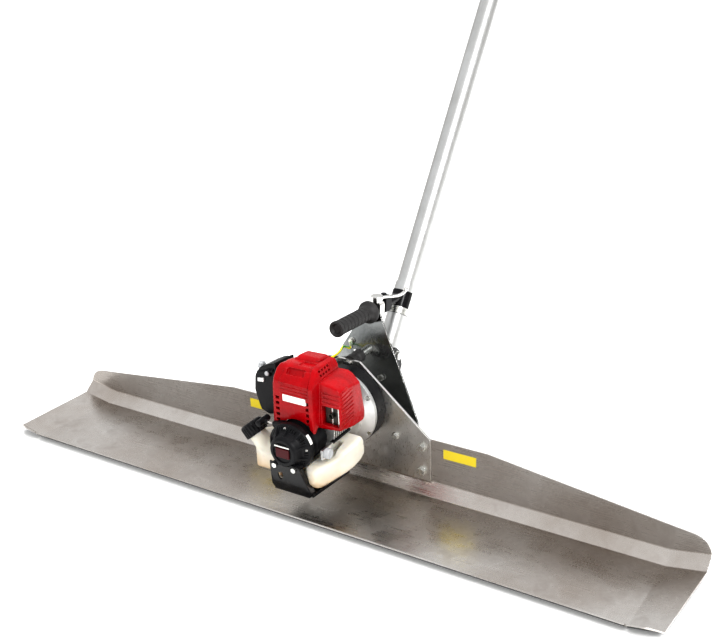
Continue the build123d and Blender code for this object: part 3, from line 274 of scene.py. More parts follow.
def pole_aluminium():
    """Drawn aluminium tube: lines along the pole, faint smears."""
    s = Shader("pole_aluminium")
    turned = s.add("Mapping", Vector=s.place, Rotation=(math.radians(POLE_TILT), 0.0, 0.0),
                   Scale=(70.0, 70.0, 1.5)).outputs[0]
    lines = s.noise(6.0, 6.0, 0.6, turned)
    smear = s.noise(9.0, 6.0, 0.65)
    tone = s.mix(s.ramp(smear, 0.35, 0.7), (0.64, 0.645, 0.64), (0.50, 0.50, 0.49))
    tone = s.edge_wear_and_highlight(tone, (0.95, 0.95, 0.95), 0.8, 0.6)
    rough = s.math("ADD", s.ramp(lines, 0.3, 0.7, 0.30, 0.44), s.ramp(smear, 0.5, 0.8, 0.0, 0.12))
    return s.surface(Base_Color=tone, Roughness=rough, Metallic=1.0,
                     Normal=s.bump(lines, 0.12, 0.2, s.soft(0.6)))


def black_paint(name, rough, peel=0.25):
    """Black gloss paint with orange peel, dust and chipped edges."""
    s = Shader(name)
    peel_height = s.noise(420.0, 2.0)
    dust = s.noise(60.0, 6.0, 0.7)
    tone = s.stained((0.005, 0.005, 0.006), (0.03, 0.027, 0.025), dust, 0.52, 0.8, 0.5)
    chips = s.math("MULTIPLY", s.edge(0.9, 0.08, 0.3), s.ramp(s.noise(240.0, 4.0), 0.5, 0.62))
    tone = s.mix(chips, tone, (0.35, 0.34, 0.33))
    roughness = s.ramp(dust, 0.4, 0.8, rough, rough + 0.25)
    return s.surface(Base_Color=tone, Roughness=roughness, Metallic=chips, Coat_Weight=0.12,
                     Coat_Roughness=rough, Specular_IOR_Level=0.14,
                     Normal=s.bump(peel_height, peel, 0.2, s.soft(1.0)))


# ---------------------------------------------------------------- plastics, rubber and fabric
def red_plastic():
    """Gloss red moulding with a fine mould grain, dust in patches and paler edges that are a painted
    highlight.
    """
    s = Shader("red_plastic")
    fine = s.noise(700.0, 2.0)
    wave = s.noise(30.0, 3.0)
    dust = s.noise(75.0, 6.0, 0.7)
    tone = s.mix(s.ramp(wave, 0.35, 0.65), (0.26, 0.0003, 0.003), (0.37, 0.0004, 0.004))
    tone = s.stained(tone, (0.24, 0.03, 0.03), dust, 0.56, 0.82, 0.18)
    # Painted highlight: paler red along every edge.
    tone = s.edge_wear_and_highlight(tone, (0.80, 0.12, 0.12), 1.2, 0.60)
    return s.surface(Base_Color=tone, Roughness=s.ramp(dust, 0.4, 0.8, 0.22, 0.42), Coat_Weight=0.12,
                     Coat_Roughness=0.08, Specular_IOR_Level=0.12,
                     Normal=s.bump(fine, 0.06, 0.1, s.bump(wave, 0.15, 1.5, s.soft(1.3))))


def moulded(name, colour, rough, grain_scale=900.0, grain=0.35, dusty=0.35, soft=0.9):
    """Moulded plastic with a spark-eroded grain, dust and slightly paler edges."""
    s = Shader(name)
    fine = s.noise(grain_scale, 3.0)
    dust = s.noise(60.0, 6.0, 0.7)
    pale = tuple(min(1.0, 1.6 * v + 0.03) for v in colour)
    tone = s.stained(colour, pale, dust, 0.52, 0.82, dusty)
    tone = s.edge_wear_and_highlight(tone, pale, 1.0, 0.35)
    return s.surface(Base_Color=tone, Roughness=s.ramp(dust, 0.35, 0.8, rough, rough + 0.18),
                     Specular_IOR_Level=0.16, Normal=s.bump(fine, grain, 0.12, s.soft(soft)))


def tank_plastic():
    """Blow-moulded translucent tank, amber where fuel stands behind the wall."""
    s = Shader("tank_plastic")
    fine = s.noise(500.0, 3.0)
    wave = s.noise(24.0, 3.0)
    low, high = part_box("fuel_tank")
    level = low.z + 0.42 * (high.z - low.z)
    height = s.add("SeparateXYZ", Vector=s.place).outputs["Z"]
    height = s.math("ADD", height, s.math("MULTIPLY", wave, 0.006))
    fuel = s.ramp(height, level + 0.010, level - 0.022)
    tone = s.mix(s.ramp(wave, 0.35, 0.65), (0.72, 0.69, 0.60), (0.65, 0.61, 0.52))
    tone = s.mix(s.math("MULTIPLY", fuel, 0.75), tone, (0.62, 0.42, 0.22))
    tone = s.stained(tone, (0.48, 0.40, 0.31), s.noise(70.0, 6.0, 0.7), 0.58, 0.85, 0.35)
    return s.surface(Base_Color=tone, Roughness=0.38, Subsurface_Weight=0.35, Subsurface_Scale=0.012,
                     Subsurface_Radius=(1.0, 0.75, 0.45),
                     Normal=s.bump(fine, 0.12, 0.12, s.bump(wave, 0.2, 1.0, s.soft(1.5))))


def clear_rubber():
    """Amber hose and primer rubber."""
    s = Shader("clear_rubber")
    fine = s.noise(300.0, 3.0)
    tone = s.mix(s.ramp(fine, 0.4, 0.6), (0.62, 0.42, 0.16), (0.72, 0.55, 0.28))
    return s.surface(Base_Color=tone, Roughness=0.3, Subsurface_Weight=0.4, Subsurface_Scale=0.004,
                     Normal=s.bump(fine, 0.15, 0.1))


def rubber(name, colour, rough, grain_scale=650.0):
    """Moulded rubber with dust in its pores."""
    s = Shader(name)
    pores = s.noise(grain_scale, 4.0, 0.65)
    dust = s.noise(90.0, 6.0, 0.7)
    pale = tuple(2.2 * v + 0.02 for v in colour)
    tone = s.stained(colour, pale, dust, 0.5, 0.8, 0.6)
    tone = s.edge_wear_and_highlight(tone, pale, 0.8, 0.4)
    return s.surface(Base_Color=tone, Roughness=s.ramp(dust, 0.35, 0.8, rough, rough + 0.2),
                     Normal=s.bump(pores, 0.5, 0.15, s.soft(0.6)))


def foam():
    """Open-cell filter foam."""
    s = Shader("foam")
    cells = s.add("TexVoronoi", Vector=s.place, Scale=600.0).outputs["Distance"]
    tone = s.mix(s.ramp(cells, 0.1, 0.6), (0.01, 0.01, 0.01), (0.07, 0.07, 0.07))
    return s.surface(Base_Color=tone, Roughness=0.95, Normal=s.bump(cells, 0.9, 0.6))


def label_film():
    """Blank stickers: yellow on the blade's wall, white on the engine, with scuffs."""
    s = Shader("label_film")
    scuff = s.noise(120.0, 6.0, 0.7)
    engine_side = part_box("engine_plate")[0].y - 0.02
    split = s.add("SeparateXYZ", Vector=s.place).outputs["Y"]
    tone = s.mix(s.math("LESS_THAN", split, engine_side), (0.83, 0.66, 0.03), (0.86, 0.86, 0.84))
    tone = s.stained(tone, (0.55, 0.50, 0.36), scuff, 0.55, 0.8, 0.5)
    return s.surface(Base_Color=tone, Roughness=s.ramp(scuff, 0.3, 0.8, 0.22, 0.5),
                     Normal=s.bump(scuff, 0.1, 0.1, s.soft(0.3)))


def striped_cover():
    """Yellow wire cover with a green stripe that winds slowly round it."""
    s = Shader("wire_cover")
    turn = s.add("Attribute", attribute_name="turn").outputs["Fac"]
    along = s.add("Attribute", attribute_name="along").outputs["Fac"]
    wind = s.math("FRACT", s.math("ADD", turn, s.math("MULTIPLY", along, 9.0)))
    green = s.ramp(s.math("ABSOLUTE", s.math("SUBTRACT", wind, 0.5)), 0.30, 0.34)
    fine = s.noise(400.0, 3.0)
    tone = s.mix(green, (0.80, 0.66, 0.02), (0.03, 0.22, 0.04))
    tone = s.stained(tone, (0.40, 0.36, 0.12), fine, 0.55, 0.75, 0.4)
    return s.surface(Base_Color=tone, Roughness=0.34, Normal=s.bump(fine, 0.12, 0.1))


def braid():
    """Starter rope: two strand directions crossing, pale with flecks."""
    s = Shader("rope_fibre")
    turn = s.math("MULTIPLY", s.add("Attribute", attribute_name="turn").outputs["Fac"], 6.0)
    along = s.math("MULTIPLY", s.add("Attribute", attribute_name="along").outputs["Fac"], 700.0)
    left = s.math("SINE", s.math("MULTIPLY", s.math("ADD", turn, along), math.tau))
    right = s.math("SINE", s.math("MULTIPLY", s.math("SUBTRACT", turn, along), math.tau))
    weave = s.math("MAXIMUM", left, right)
    tone = s.mix(s.ramp(weave, -0.2, 0.9), (0.32, 0.31, 0.29), (0.80, 0.79, 0.75))
    tone = s.mix(s.ramp(s.math("MULTIPLY", left, right), 0.75, 0.9), tone, (0.35, 0.03, 0.03))
    return s.surface(Base_Color=tone, Roughness=0.85, Normal=s.bump(weave, 0.8, 0.4))


# ---------------------------------------------------------------- mesh kit
def from_bmesh(name, bm, material, body, smooth_angle=32.0):
    """Turns a bmesh in row metres into a piece that rides on a body."""
    bmesh.ops.recalc_face_normals(bm, faces=bm.faces)
    mesh = bpy.data.meshes.new(name)
    bm.to_mesh(mesh)
    bm.free()
    mesh.shade_smooth()
    mesh.set_sharp_from_angle(angle=math.radians(smooth_angle))
    piece = bpy.data.objects.new(name, mesh)
    bpy.context.scene.collection.objects.link(piece)
    piece.data.materials.append(material)
    if body:
        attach(piece, body)
    return piece


def hull(points, bevel=3.0, segments=3):
    """Convex solid round points (x, d, z), with rounded edges, as a bmesh in row metres."""
    bm = bmesh.new()
    for x, d, z in points:
        bm.verts.new((x, -d, z))
    bmesh.ops.convex_hull(bm, input=bm.verts)
    inside = [v for v in bm.verts if not v.link_faces]
    bmesh.ops.delete(bm, geom=inside, context="VERTS")
    bmesh.ops.dissolve_limit(bm, angle_limit=math.radians(1.5), verts=bm.verts, edges=bm.edges)
    bmesh.ops.recalc_face_normals(bm, faces=bm.faces)
    if bevel:
        bmesh.ops.bevel(bm, geom=bm.edges[:], offset=bevel, offset_type="OFFSET", segments=segments,
                        profile=0.5, affect="EDGES", clamp_overlap=True)
    bm.transform(WALL)
    return bm


def box_points(x0, x1, d0, d1, z0, z1):
    """The eight corners of a block."""
    return [(x, d, z) for x in (x0, x1) for d in (d0, d1) for z in (z0, z1)]


def across(x0, x1, *section):
    """Points of a (d, z) section at two places along the wall."""
    return [(x, d, z) for d, z in section for x in (x0, x1)]


def swept_outline(outline, d0, d1):
    """Points of an (x, z) outline at two distances ahead."""
    return [(x, d, z) for x, z in outline for d in (d0, d1)]


def lathe(profile, matrix, steps=72, wave=None):
    """Solid of revolution as a bmesh: profile of (radius, height) corners about matrix's z axis.

    wave(angle, radius, height) may return a changed radius, which makes ribs and notches.
    """
    bm = bmesh.new()
    rings = []
    for radius, height in profile:
        if radius <= 0:
            rings.append([bm.verts.new((0, 0, height))])
            continue
        ring = []
        for step in range(steps):
            angle = math.tau * step / steps
            r = wave(angle, radius, height) if wave else radius
            ring.append(bm.verts.new((r * math.cos(angle), r * math.sin(angle), height)))
        rings.append(ring)
    for low, high in zip(rings, rings[1:] + rings[:1]):
        for step in range(steps):
            after = (step + 1) % steps
            corners = [low[step % len(low)], low[after % len(low)],
                       high[after % len(high)], high[step % len(high)]]
            unique = list(dict.fromkeys(corners))
            if len(unique) > 2:
                bm.faces.new(unique)
    bm.transform(matrix)
    return bm


def rounded_profile(corners, radius):
    """Rounds the inner corners of a lathe profile with short arcs."""
    result = [corners[0]]
    for before, corner, after in zip(corners, corners[1:], corners[2:]):
        p, q, r = Vector(before), Vector(corner), Vector(after)
        reach = min(radius, 0.45 * (p - q).length, 0.45 * (r - q).length)
        start = q + (p - q).normalized() * reach
        end = q + (r - q).normalized() * reach
        for step in range(4):
            t = step / 3
            point = start * (1 - t) ** 2 + q * 2 * t * (1 - t) + end * t * t
            result.append(tuple(point))
    return result + [corners[-1]]


def smooth_path(points, per_span=10):
    """Catmull-Rom points through the given points."""
    dense = []
    ends = [points[0]] + list(points) + [points[-1]]
    for a, b, c, d in zip(ends, ends[1:], ends[2:], ends[3:]):
        a, b, c, d = Vector(a), Vector(b), Vector(c), Vector(d)
        for step in range(per_span):
            t = step / per_span
            dense.append(0.5 * (2 * b + (c - a) * t + (2 * a - 5 * b + 4 * c - d) * t * t
                                + (3 * b - a - 3 * c + d) * t ** 3))
    return dense + [Vector(points[-1])]


def tube(path, radius, sides):
    """Round bar along a path in row metres, as a bmesh with turn and along attributes."""
    bm = bmesh.new()
    turn_layer = bm.verts.layers.float.new("turn")
    along_layer = bm.verts.layers.float.new("along")
    side = None
    travelled = 0.0
    rings = []
    for index, point in enumerate(path):
        ahead = path[min(index + 1, len(path) - 1)] - path[max(index - 1, 0)]
        ahead.normalize()
        if side is None:
            side = ahead.orthogonal().normalized()
        side = (side - ahead * side.dot(ahead)).normalized()
        other = ahead.cross(side)
        if index:
            travelled += (point - path[index - 1]).length
        ring = []
        for step in range(sides):
            angle = math.tau * step / sides
            vert = bm.verts.new(point + (side * math.cos(angle) + other * math.sin(angle)) * radius)
            vert[turn_layer] = step / sides
            vert[along_layer] = travelled
            ring.append(vert)
        rings.append(ring)
    for low, high in zip(rings, rings[1:]):
        for step in range(sides):
            after = (step + 1) % sides
            bm.faces.new((low[step], low[after], high[after], high[step]))
    bm.faces.new(rings[0][::-1])
    bm.faces.new(rings[-1])
    return bm


def merged(*parts):
    """One bmesh holding several closed parts."""
    result = bmesh.new()
    for part in parts:
        mesh = bpy.data.meshes.new("part")
        part.to_mesh(mesh)
        part.free()
        result.from_mesh(mesh)
        bpy.data.meshes.remove(mesh)
    return result


def bake(piece):
    """Applies a piece's modifiers to its mesh."""
    graph = bpy.context.evaluated_depsgraph_get()
    mesh = bpy.data.meshes.new_from_object(piece.evaluated_get(graph))
    old = piece.data
    piece.modifiers.clear()
    piece.data = mesh
    mesh.name = piece.name
    bpy.data.meshes.remove(old)


def shaped(piece, operation, parts):
    """Joins parts to a piece, or cuts them from it."""
    holder = bpy.data.collections.new("tools")
    for part in parts:
        bmesh.ops.recalc_face_normals(part, faces=part.faces)
        mesh = bpy.data.meshes.new("tool")
        part.to_mesh(mesh)
        part.free()
        holder.objects.link(bpy.data.objects.new("tool", mesh))
    bpy.context.scene.collection.children.link(holder)
    change = piece.modifiers.new("shape", "BOOLEAN")
    change.operation = operation
    change.solver = "EXACT"
    change.operand_type = "COLLECTION"
    change.collection = holder
    bake(piece)
    for tool in list(holder.objects):
        mesh = tool.data
        bpy.data.objects.remove(tool)
        bpy.data.meshes.remove(mesh)
    bpy.data.collections.remove(holder)
    return piece


def softened(piece, voxel_mm, rounds, smooth_angle=60.0):
    """Remeshes a piece finely and relaxes it, which rounds every edge like a moulding."""
    remesh = piece.modifiers.new("remesh", "REMESH")
    remesh.mode = "VOXEL"
    remesh.voxel_size = voxel_mm * 0.001
    relax = piece.modifiers.new("relax", "SMOOTH")
    relax.factor = 0.5
    relax.iterations = rounds
    bake(piece)
    piece.data.shade_smooth()
    piece.data.set_sharp_from_angle(angle=math.radians(smooth_angle))
    return piece


def finish_shading(piece, smooth_angle=32.0):
    """Smooth shading with sharp creases kept, weighted by face area."""
    piece.data.shade_smooth()
    piece.data.set_sharp_from_angle(angle=math.radians(smooth_angle))
    weigh = piece.modifiers.new("weigh", "WEIGHTED_NORMAL")
    weigh.keep_sharp = True
    return piece


# ---------------------------------------------------------------- the carried-over CAD nodes
FINISHES = {
    "blade_steel": blade_steel(),
    "plate_steel": plate_steel("plate_steel", (0.60, 0.59, 0.57), (0.80, 0.79, 0.77), 0.24, 0.36),
    "handle_steel": plate_steel("handle_steel", (0.19, 0.20, 0.20), (0.34, 0.35, 0.35), 0.14, 0.24),
    "zinc_steel": bare_metal("zinc_steel", (0.66, 0.66, 0.63), 0.26),
    "inner_steel": bare_metal("inner_steel", (0.45, 0.45, 0.45), 0.3),
    "chrome_steel": bare_metal("chrome_steel", (0.80, 0.79, 0.77), 0.12, 90.0, 0.06),
    "cast_aluminium": bare_metal("cast_aluminium", (0.66, 0.665, 0.66), 0.40, 900.0, 0.6),
    "pole_aluminium": pole_aluminium(),
    "black_paint": black_paint("black_paint", 0.10),
    "black_cast": black_paint("black_cast", 0.26, 0.5),
    "dark_metal": bare_metal("dark_metal", (0.075, 0.07, 0.062), 0.45, 300.0, 0.5, (0.22, 0.20, 0.17)),
    "red_plastic": red_plastic(),
    "badge_plastic": moulded("badge_plastic", (0.055, 0.006, 0.008), 0.3),
    "black_plastic": moulded("black_plastic", (0.006, 0.006, 0.007), 0.34, dusty=0.2),
    "grey_plastic": moulded("grey_plastic", (0.42, 0.43, 0.44), 0.35),
    "tank_plastic": tank_plastic(),
    "black_rubber": rubber("black_rubber", (0.014, 0.013, 0.013), 0.5),
    "clear_rubber": clear_rubber(),
    "foam": foam(),
    "wire_cover": striped_cover(),
    "label_film": label_film(),
    "rope_fibre": braid(),
}

for part in frame["record"]["subparts"]:
    node = NODES[part["node"]]
    node.data.materials.clear()
    node.data.materials.append(FINISHES[part["material_slot"]])


# ---------------------------------------------------------------- engine shells
def piece(name, bm, slot, body="frame", smooth_angle=32.0):
    """A piece with the finish of a record slot, riding on a body."""
    return from_bmesh(name, bm, FINISHES[slot], body, smooth_angle)


def trim(name, bm, slot, body="frame"):
    """A small piece that's added to the CAD, shaded at once."""
    finish_shading(piece(name, bm, slot, body))


def engine_cover():
    """Red shroud: a tall front panel, a block over the silencer, a ridge between them and a hump."""
    shell = piece("engine_cover", hull([
        (-57, 197, 148), (36, 197, 148), (-53, 196.5, 264), (36, 196.5, 264), (-50, 182, 288),
        (35, 181, 291), (-45, 170, 295), (35, 168, 297), (-40, 112, 285), (36, 108, 289),
        (-56, 104, 254), (38, 102, 262), (-62, 102, 168), (40, 100, 166)], 5, 4), "red_plastic")
    silencer_block = hull([
        (32, 181, 174), (89, 180, 179), (32, 181, 277), (91, 179, 266), (32, 114, 278), (88, 103, 251),
        (32, 92, 176), (91, 90, 166), (90, 130, 168), (60, 92, 266)], 4.5, 4)
    ridge = hull([
        (31, 199.5, 153), (38.5, 199, 157), (31, 199.5, 264), (40, 198.5, 264), (31, 183, 297),
        (40, 182, 293), (30, 170, 301), (39, 168, 299), (30, 116, 298), (39, 112, 294), (46, 112, 280),
        (47, 178, 278), (41, 185, 180)], 3, 3)
    panel = hull([
        (-37, 198.3, 264), (30, 198.3, 264), (-31, 183.5, 289), (31, 183.5, 291), (-37, 190, 260),
        (30, 190, 260), (-31, 176, 286), (31, 176, 288)], 1.6, 3)
    hump = hull([
        (-30, 146, 296), (26, 148, 297), (-24, 138, 300.5), (23, 140, 301.5), (-24, 112, 297),
        (23, 110, 298), (-34, 106, 284), (28, 106, 284), (-34, 150, 288), (28, 152, 288)], 3, 3)
    lip = hull(across(-61, 40, (199, 146), (199, 152), (186, 144), (186, 152)), 2, 2)
    shaped(shell, "UNION", [silencer_block, ridge, panel, hump, lip])
    ribs = []
    for z in (241, 248, 255):
        ribs.append(hull(box_points(-34, 28, 190, 198.4, z, z + 2.4), 1.0, 2))
    ribs.append(hull(box_points(-33, 28, 190, 198.6, 152, 156), 1.2, 2))
    shaped(shell, "UNION", ribs)
    hollow = [hull([(-53, 191, 130), (32, 191, 130), (-49, 191, 262), (32, 191, 262), (-45, 176, 284),
                    (32, 176, 286), (-41, 167, 290), (32, 165, 291), (-36, 90, 279), (32, 90, 283),
                    (-52, 90, 250), (34, 90, 256), (-56, 90, 130), (36, 90, 130)], 4, 2),
              hull([(28, 175, 150), (86, 174, 150), (28, 175, 271), (86, 172, 261), (28, 80, 272),
                    (84, 80, 246), (87, 80, 150), (87, 168, 150)], 3, 2),
              lathe([(0, 160), (46.5, 160), (46.5, 240), (0, 240)], CRANK, 96),
              hull(box_points(-72, -40, 102, 148, 190, 246), 2, 2)]
    shaped(shell, "DIFFERENCE", hollow)
    cuts = [hull(box_points(48, 86.5, 160, 200, 185, 226), 2, 2)]
    cuts.append(hull([(-24, 192, 281), (17, 192, 282), (-24, 181, 293), (17, 181, 294), (-24, 184, 277),
                      (17, 184, 278), (-24, 176, 287), (17, 176, 288)], 2.5, 3))
    cuts.append(hull([(-6, 172, 293), (26, 172, 294), (-6, 150, 291), (24, 150, 292), (-6, 150, 296),
                      (24, 150, 297), (-6, 168, 309), (26, 168, 309)], 2.0, 2))
    for z in range(166, 238, 12):
        cuts.append(hull(box_points(-47, -38, 187, 202, z, z + 7), 0.8, 1))
        cuts.append(hull(box_points(22, 29, 187, 202, z, z + 7), 0.8, 1))
    for step in range(9):
        z = 187 + 8.6 * step
        louvre = across(88.3, 99, (176, z), (176, z + 3.8), (134, z + 3.5), (134, z + 7.3))
        cuts.append(hull(louvre, 0.9, 1))
    for step in range(3):
        z = 232 + 9.5 * step
        groove = [(50, d, z + rise) for d in (178.2, 190) for rise in (0, 4.5)]
        groove += [(89, d, z + rise) for d in (177.8, 190) for rise in (-1, 3.5)]
        cuts.append(hull(groove, 1.0, 1))
    for row in range(2):
        for column in range(4):
            middle = 172 - 9.5 * column
            low = 281 + 8 * row
            cuts.append(hull(box_points(36, 60, middle - 3.2, middle + 3.2, low, low + 5.2), 0.6, 1))
    shaped(shell, "DIFFERENCE", cuts)
    finish_shading(shell)
    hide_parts("top_cover")
    trim("front_sticker", hull(box_points(-29, 23, 196.2, 198.0, 226, 240), 0.5, 2), "label_film")
    # Painted shade: this dark sheet behind the window in the cover stands in for the shade inside it.
    trim("window_shade_sheet", hull(box_points(50, 88, 167, 170, 180, 232), 0.6, 1), "dark_metal")
    strips = [hull(box_points(x, x + 3.4, 169.5, 172.5, 181, 231), 1.2, 2) for x in (64.5, 78)]
    trim("window_strips", merged(*strips), "zinc_steel")


def crankcase_fins():
    """Cast cooling fins below the cover, on the tank side of the crankcase."""
    fins = []
    for step in range(9):
        near = 100 + 7.2 * step
        outline = [(36, 140), (60, 145), (62, 172), (36, 178)]
        fins.append(hull(swept_outline(outline, near, near + 2.8), 0.8, 2))
    trim("crankcase_fins", merged(*fins), "cast_aluminium")
    trim("fin_root", hull(box_points(37, 50, 99, 160, 142, 176), 1.5, 2), "dark_metal")
    trim("fin_strap", hull(box_points(54, 62.5, 104, 168, 139, 143.5), 1.2, 2), "black_plastic")


def on_cone(angle, radius, d):
    """Wall point at an angle and radius round the crank axis."""
    return (radius * math.cos(angle), d, CRANK_UP_WALL + radius * math.sin(angle))


def starter_casing():
    """Black starter casing: a rim, a cone with raised ribs and slots, and a flat hub with a badge."""
    outline = rounded_profile([(0, 247), (21, 247), (21, 250), (27, 250), (31, 245), (35, 233), (47, 224),
                               (48, 222), (48, 212), (39.5, 201), (39.5, 194), (44, 190), (44, 161),
                               (0, 161)], 2.0)
    casing = piece("starter_casing", lathe(outline, CRANK, 128), "black_plastic")
    added = []
    for spoke in range(10):
        angle = math.radians(18 + 36 * spoke)
        points = []
        for side in (-1, 1):
            turn = angle + side * 0.045
            points += [on_cone(turn, 26, 251), on_cone(turn, 34, 238.5), on_cone(turn, 45, 228),
                       on_cone(turn, 47, 224), on_cone(turn, 26, 243), on_cone(turn, 45, 219)]
        added.append(hull(points, 0.8, 2))
    for x in (-22, 22):
        added.append(lathe([(0, 222), (8, 222), (8, 242.6), (7, 243.4), (0, 243.4)],
                           seat_ahead(x, 112), 32))
    guide = hull([*swept_outline([(-26, 164), (-26, 184)], 195, 211), (-50, 209, 167), (-50, 197, 167),
                  (-52, 208, 178), (-52, 198, 178)], 2.5, 3)
    shaped(casing, "UNION", [*added, guide])
    hollow = lathe([(0, 150), (41, 150), (41, 187), (36.5, 191), (36.5, 201), (45, 213), (45, 220.5),
                    (32, 231), (27, 245), (0, 245)], CRANK, 96)
    rope_hole = lathe([(0, 20), (3.4, 20), (3.4, 70), (0, 70)], seat_left(203, 173), 24)
    shaped(casing, "DIFFERENCE", [hollow, rope_hole])
    cuts = []
    for panel in range(10):
        middle = math.radians(36 * panel)
        for fan in (-0.13, 0.0, 0.13):
            points = []
            for radius in (37, 44.0):
                for wide in (-0.9, 0.9):
                    turn = middle + fan + wide / radius
                    points += [on_cone(turn, radius, 216), on_cone(turn, radius, 240)]
            cuts.append(hull(points, 0.3, 1))
    shaped(casing, "DIFFERENCE", cuts)
    finish_shading(casing)
    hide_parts("recoil_housing")
    trim("starter_trim", hull(box_points(-17, 17, 246.5, 251.2, 157, 160.6), 1, 2), "zinc_steel")
    badge = piece("badge_panel", hull(box_points(-15, 15, 246.2, 250.6, 134, 154), 1.4, 3),
                  "badge_plastic")
    finish_shading(badge)
    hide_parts("starter_badge")
    head = rounded_profile([(0, 222), (2.5, 222), (2.5, 229), (1.3, 229), (1.2, 227.8), (0, 227.8)], 0.5)
    heads = []
    for degrees in (98, 8, 188):
        x, _, z = on_cone(math.radians(degrees), 41.5, 0)
        heads.append(lathe(head, seat_ahead(x, z), 24))
    trim("starter_screws", merged(*heads), "zinc_steel")
    patch = []
    for degrees in range(18, 45, 3):
        turn = math.radians(degrees)
        patch += [on_cone(turn, 48.6, 213), on_cone(turn, 48.6, 220.5), on_cone(turn, 47.2, 213),
                  on_cone(turn, 47.2, 220.5)]
    trim("rim_sticker", hull(patch, 0), "label_film")


def guard():
    """Black sheet guard in front of the tank: leaning face, folded flanges, foot and a slot."""
    face = piece("guard_face", hull([
        (-33, 247.6, 119), (33, 247.6, 119), (-33, 244.4, 119), (33, 244.4, 119), (-37, 242, 106),
        (36, 242, 106), (-44, 230, 56), (46, 230, 56), (-44, 226.8, 56), (46, 226.8, 56),
        (-38, 227.6, 46), (40, 227.6, 46), (-38, 224.6, 46), (40, 224.6, 46)], 1.0, 2), "black_paint")
    parts = [
        hull([(33, 246, 114), (30, 246, 114), (33.5, 233, 112), (30.5, 233, 112), (46, 229.5, 56),
              (43, 229.5, 56), (46, 212, 52), (43, 212, 52), (40, 227, 46), (40, 212, 46)], 0.8, 2),
        hull([(-33, 246, 114), (-30, 246, 114), (-33.5, 233, 112), (-30.5, 233, 112), (-44, 229.5, 56),
              (-41, 229.5, 56), (-44, 212, 52), (-41, 212, 52), (-38, 227, 46), (-38, 212, 46)], 0.8, 2),
        hull([(x, d, z) for x, d in ((-40, 228), (42, 228), (-60, 110), (60, 110)) for z in (44.5, 48)],
             1.2, 2),
        hull([(46, 226, 45), (48, 222, 45), (60, 110, 45), (57, 110, 45), (47, 222, 52), (60, 112, 52),
              (57, 112, 52), (44, 222, 52)], 0.8, 2)]
    shaped(face, "UNION", parts)
    slot = [(-22, 77), (-16, 74), (-9, 88), (-10, 96), (-15, 95), (-22, 90)]
    room = [hull(swept_outline(slot, 205, 260), 1.5, 2),
            lathe([(0, 232), (30.5, 232), (30.5, 265), (0, 265)], CRANK, 64)]
    for x in (-22, 22):
        seat = seat_ahead(x, 112)
        room.append(lathe([(0, 200), (3.3, 200), (3.3, 260), (0, 260)], seat, 32))
        room.append(lathe([(0, 200), (8.6, 200), (8.6, 243.4), (0, 243.4)], seat, 32))
        room.append(lathe([(0, 246.0), (12, 246.0), (12, 262), (0, 262)], seat, 32))
    shaped(face, "DIFFERENCE", room)
    finish_shading(face)
    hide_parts("stand")


def neck_matrix():
    """Filler neck's frame: origin on the tank, z out along the neck, in millimetres."""
    joint = JOINTS["tank_cap_turn"]
    turn = Vector(joint["axis"]).to_track_quat("Z", "Y").to_matrix().to_4x4()
    return Matrix.Translation(joint["pos_m"]) @ turn @ MM


def tank():
    """Blow-moulded tank: a lobe that rises to the back on each side, a low middle and a filler neck."""
    right = [(225, 36, (48, 76), (56, 84), 102), (214, 26, (52, 62), (66, 74), 110),
             (196, 22, (55, 58), (74, 76), 113), (176, 26, (58, 58), (82, 79), 116),
             (163, 40, (62, 60), (88, 82), 126), (145, 46, (68, 64), (94, 87), 131),
             (128, 50, (72, 70), (98, 94), 136), (112, 56, (76, 84), (97, 100), 136),
             (104, 64, (76, 94), (92, 106), 131)]
    left = [(206, -84, -40, 70, 102), (196, -104, -40, 60, 114), (184, -113, -46, 56, 122),
            (168, -115, -50, 56, 125), (150, -114, -52, 60, 122), (130, -111, -54, 66, 116),
            (114, -102, -60, 74, 106)]
    middle = [(212, -40, 40, 62, 88), (200, -52, 50, 54, 92), (150, -54, 54, 51, 92),
              (106, -50, 50, 56, 90)]
    lumps = []
    for near, far in zip(right, right[1:]):
        points = []
        for d, inner, (x1, z1), (x2, z2), top in (near, far):
            points += [(inner, d, z1), (x1, d, z1), (x2, d, z2), (x2 - 3, d, top - 4), (x2 - 9, d, top),
                       (inner, d, top)]
        lumps.append(hull(points, 0))
    for lobe in (left, middle):
        for (d0, x0, x1, z0, z1), (d2, x2, x3, z2, z3) in zip(lobe, lobe[1:]):
            near = [(x, d0, z) for x in (x0, x1) for z in (z0, z1)]
            far = [(x, d2, z) for x in (x2, x3) for z in (z2, z3)]
            lumps.append(hull(near + far, 0))
    lumps.append(lathe([(0, -22), (19, -22), (18, 9), (16.5, 11), (16.5, 15.0), (0, 15.0)],
                       neck_matrix(), 48))
    body = piece("tank_shell", merged(*lumps), "tank_plastic")
    voxel = 1.6
    softened(body, voxel, 10)
    room = [lathe([(0, 150), (49.5, 150), (49.5, 240), (0, 240)], CRANK),
            hull(box_points(-46, 45, 80, 158, 98, 200), 6, 2),
            hull(box_points(50, 67, 140, 220, 115, 160), 3, 2),
            hull(box_points(40, 112, 171, 220, 116, 160), 5, 2),
            lathe([(0, -60), (12.8, -60), (12.8, 30), (0, 30)], neck_matrix(), 48)]
    shaped(body, "DIFFERENCE", room)
    softened(body, voxel, 5)
    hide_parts("fuel_tank")


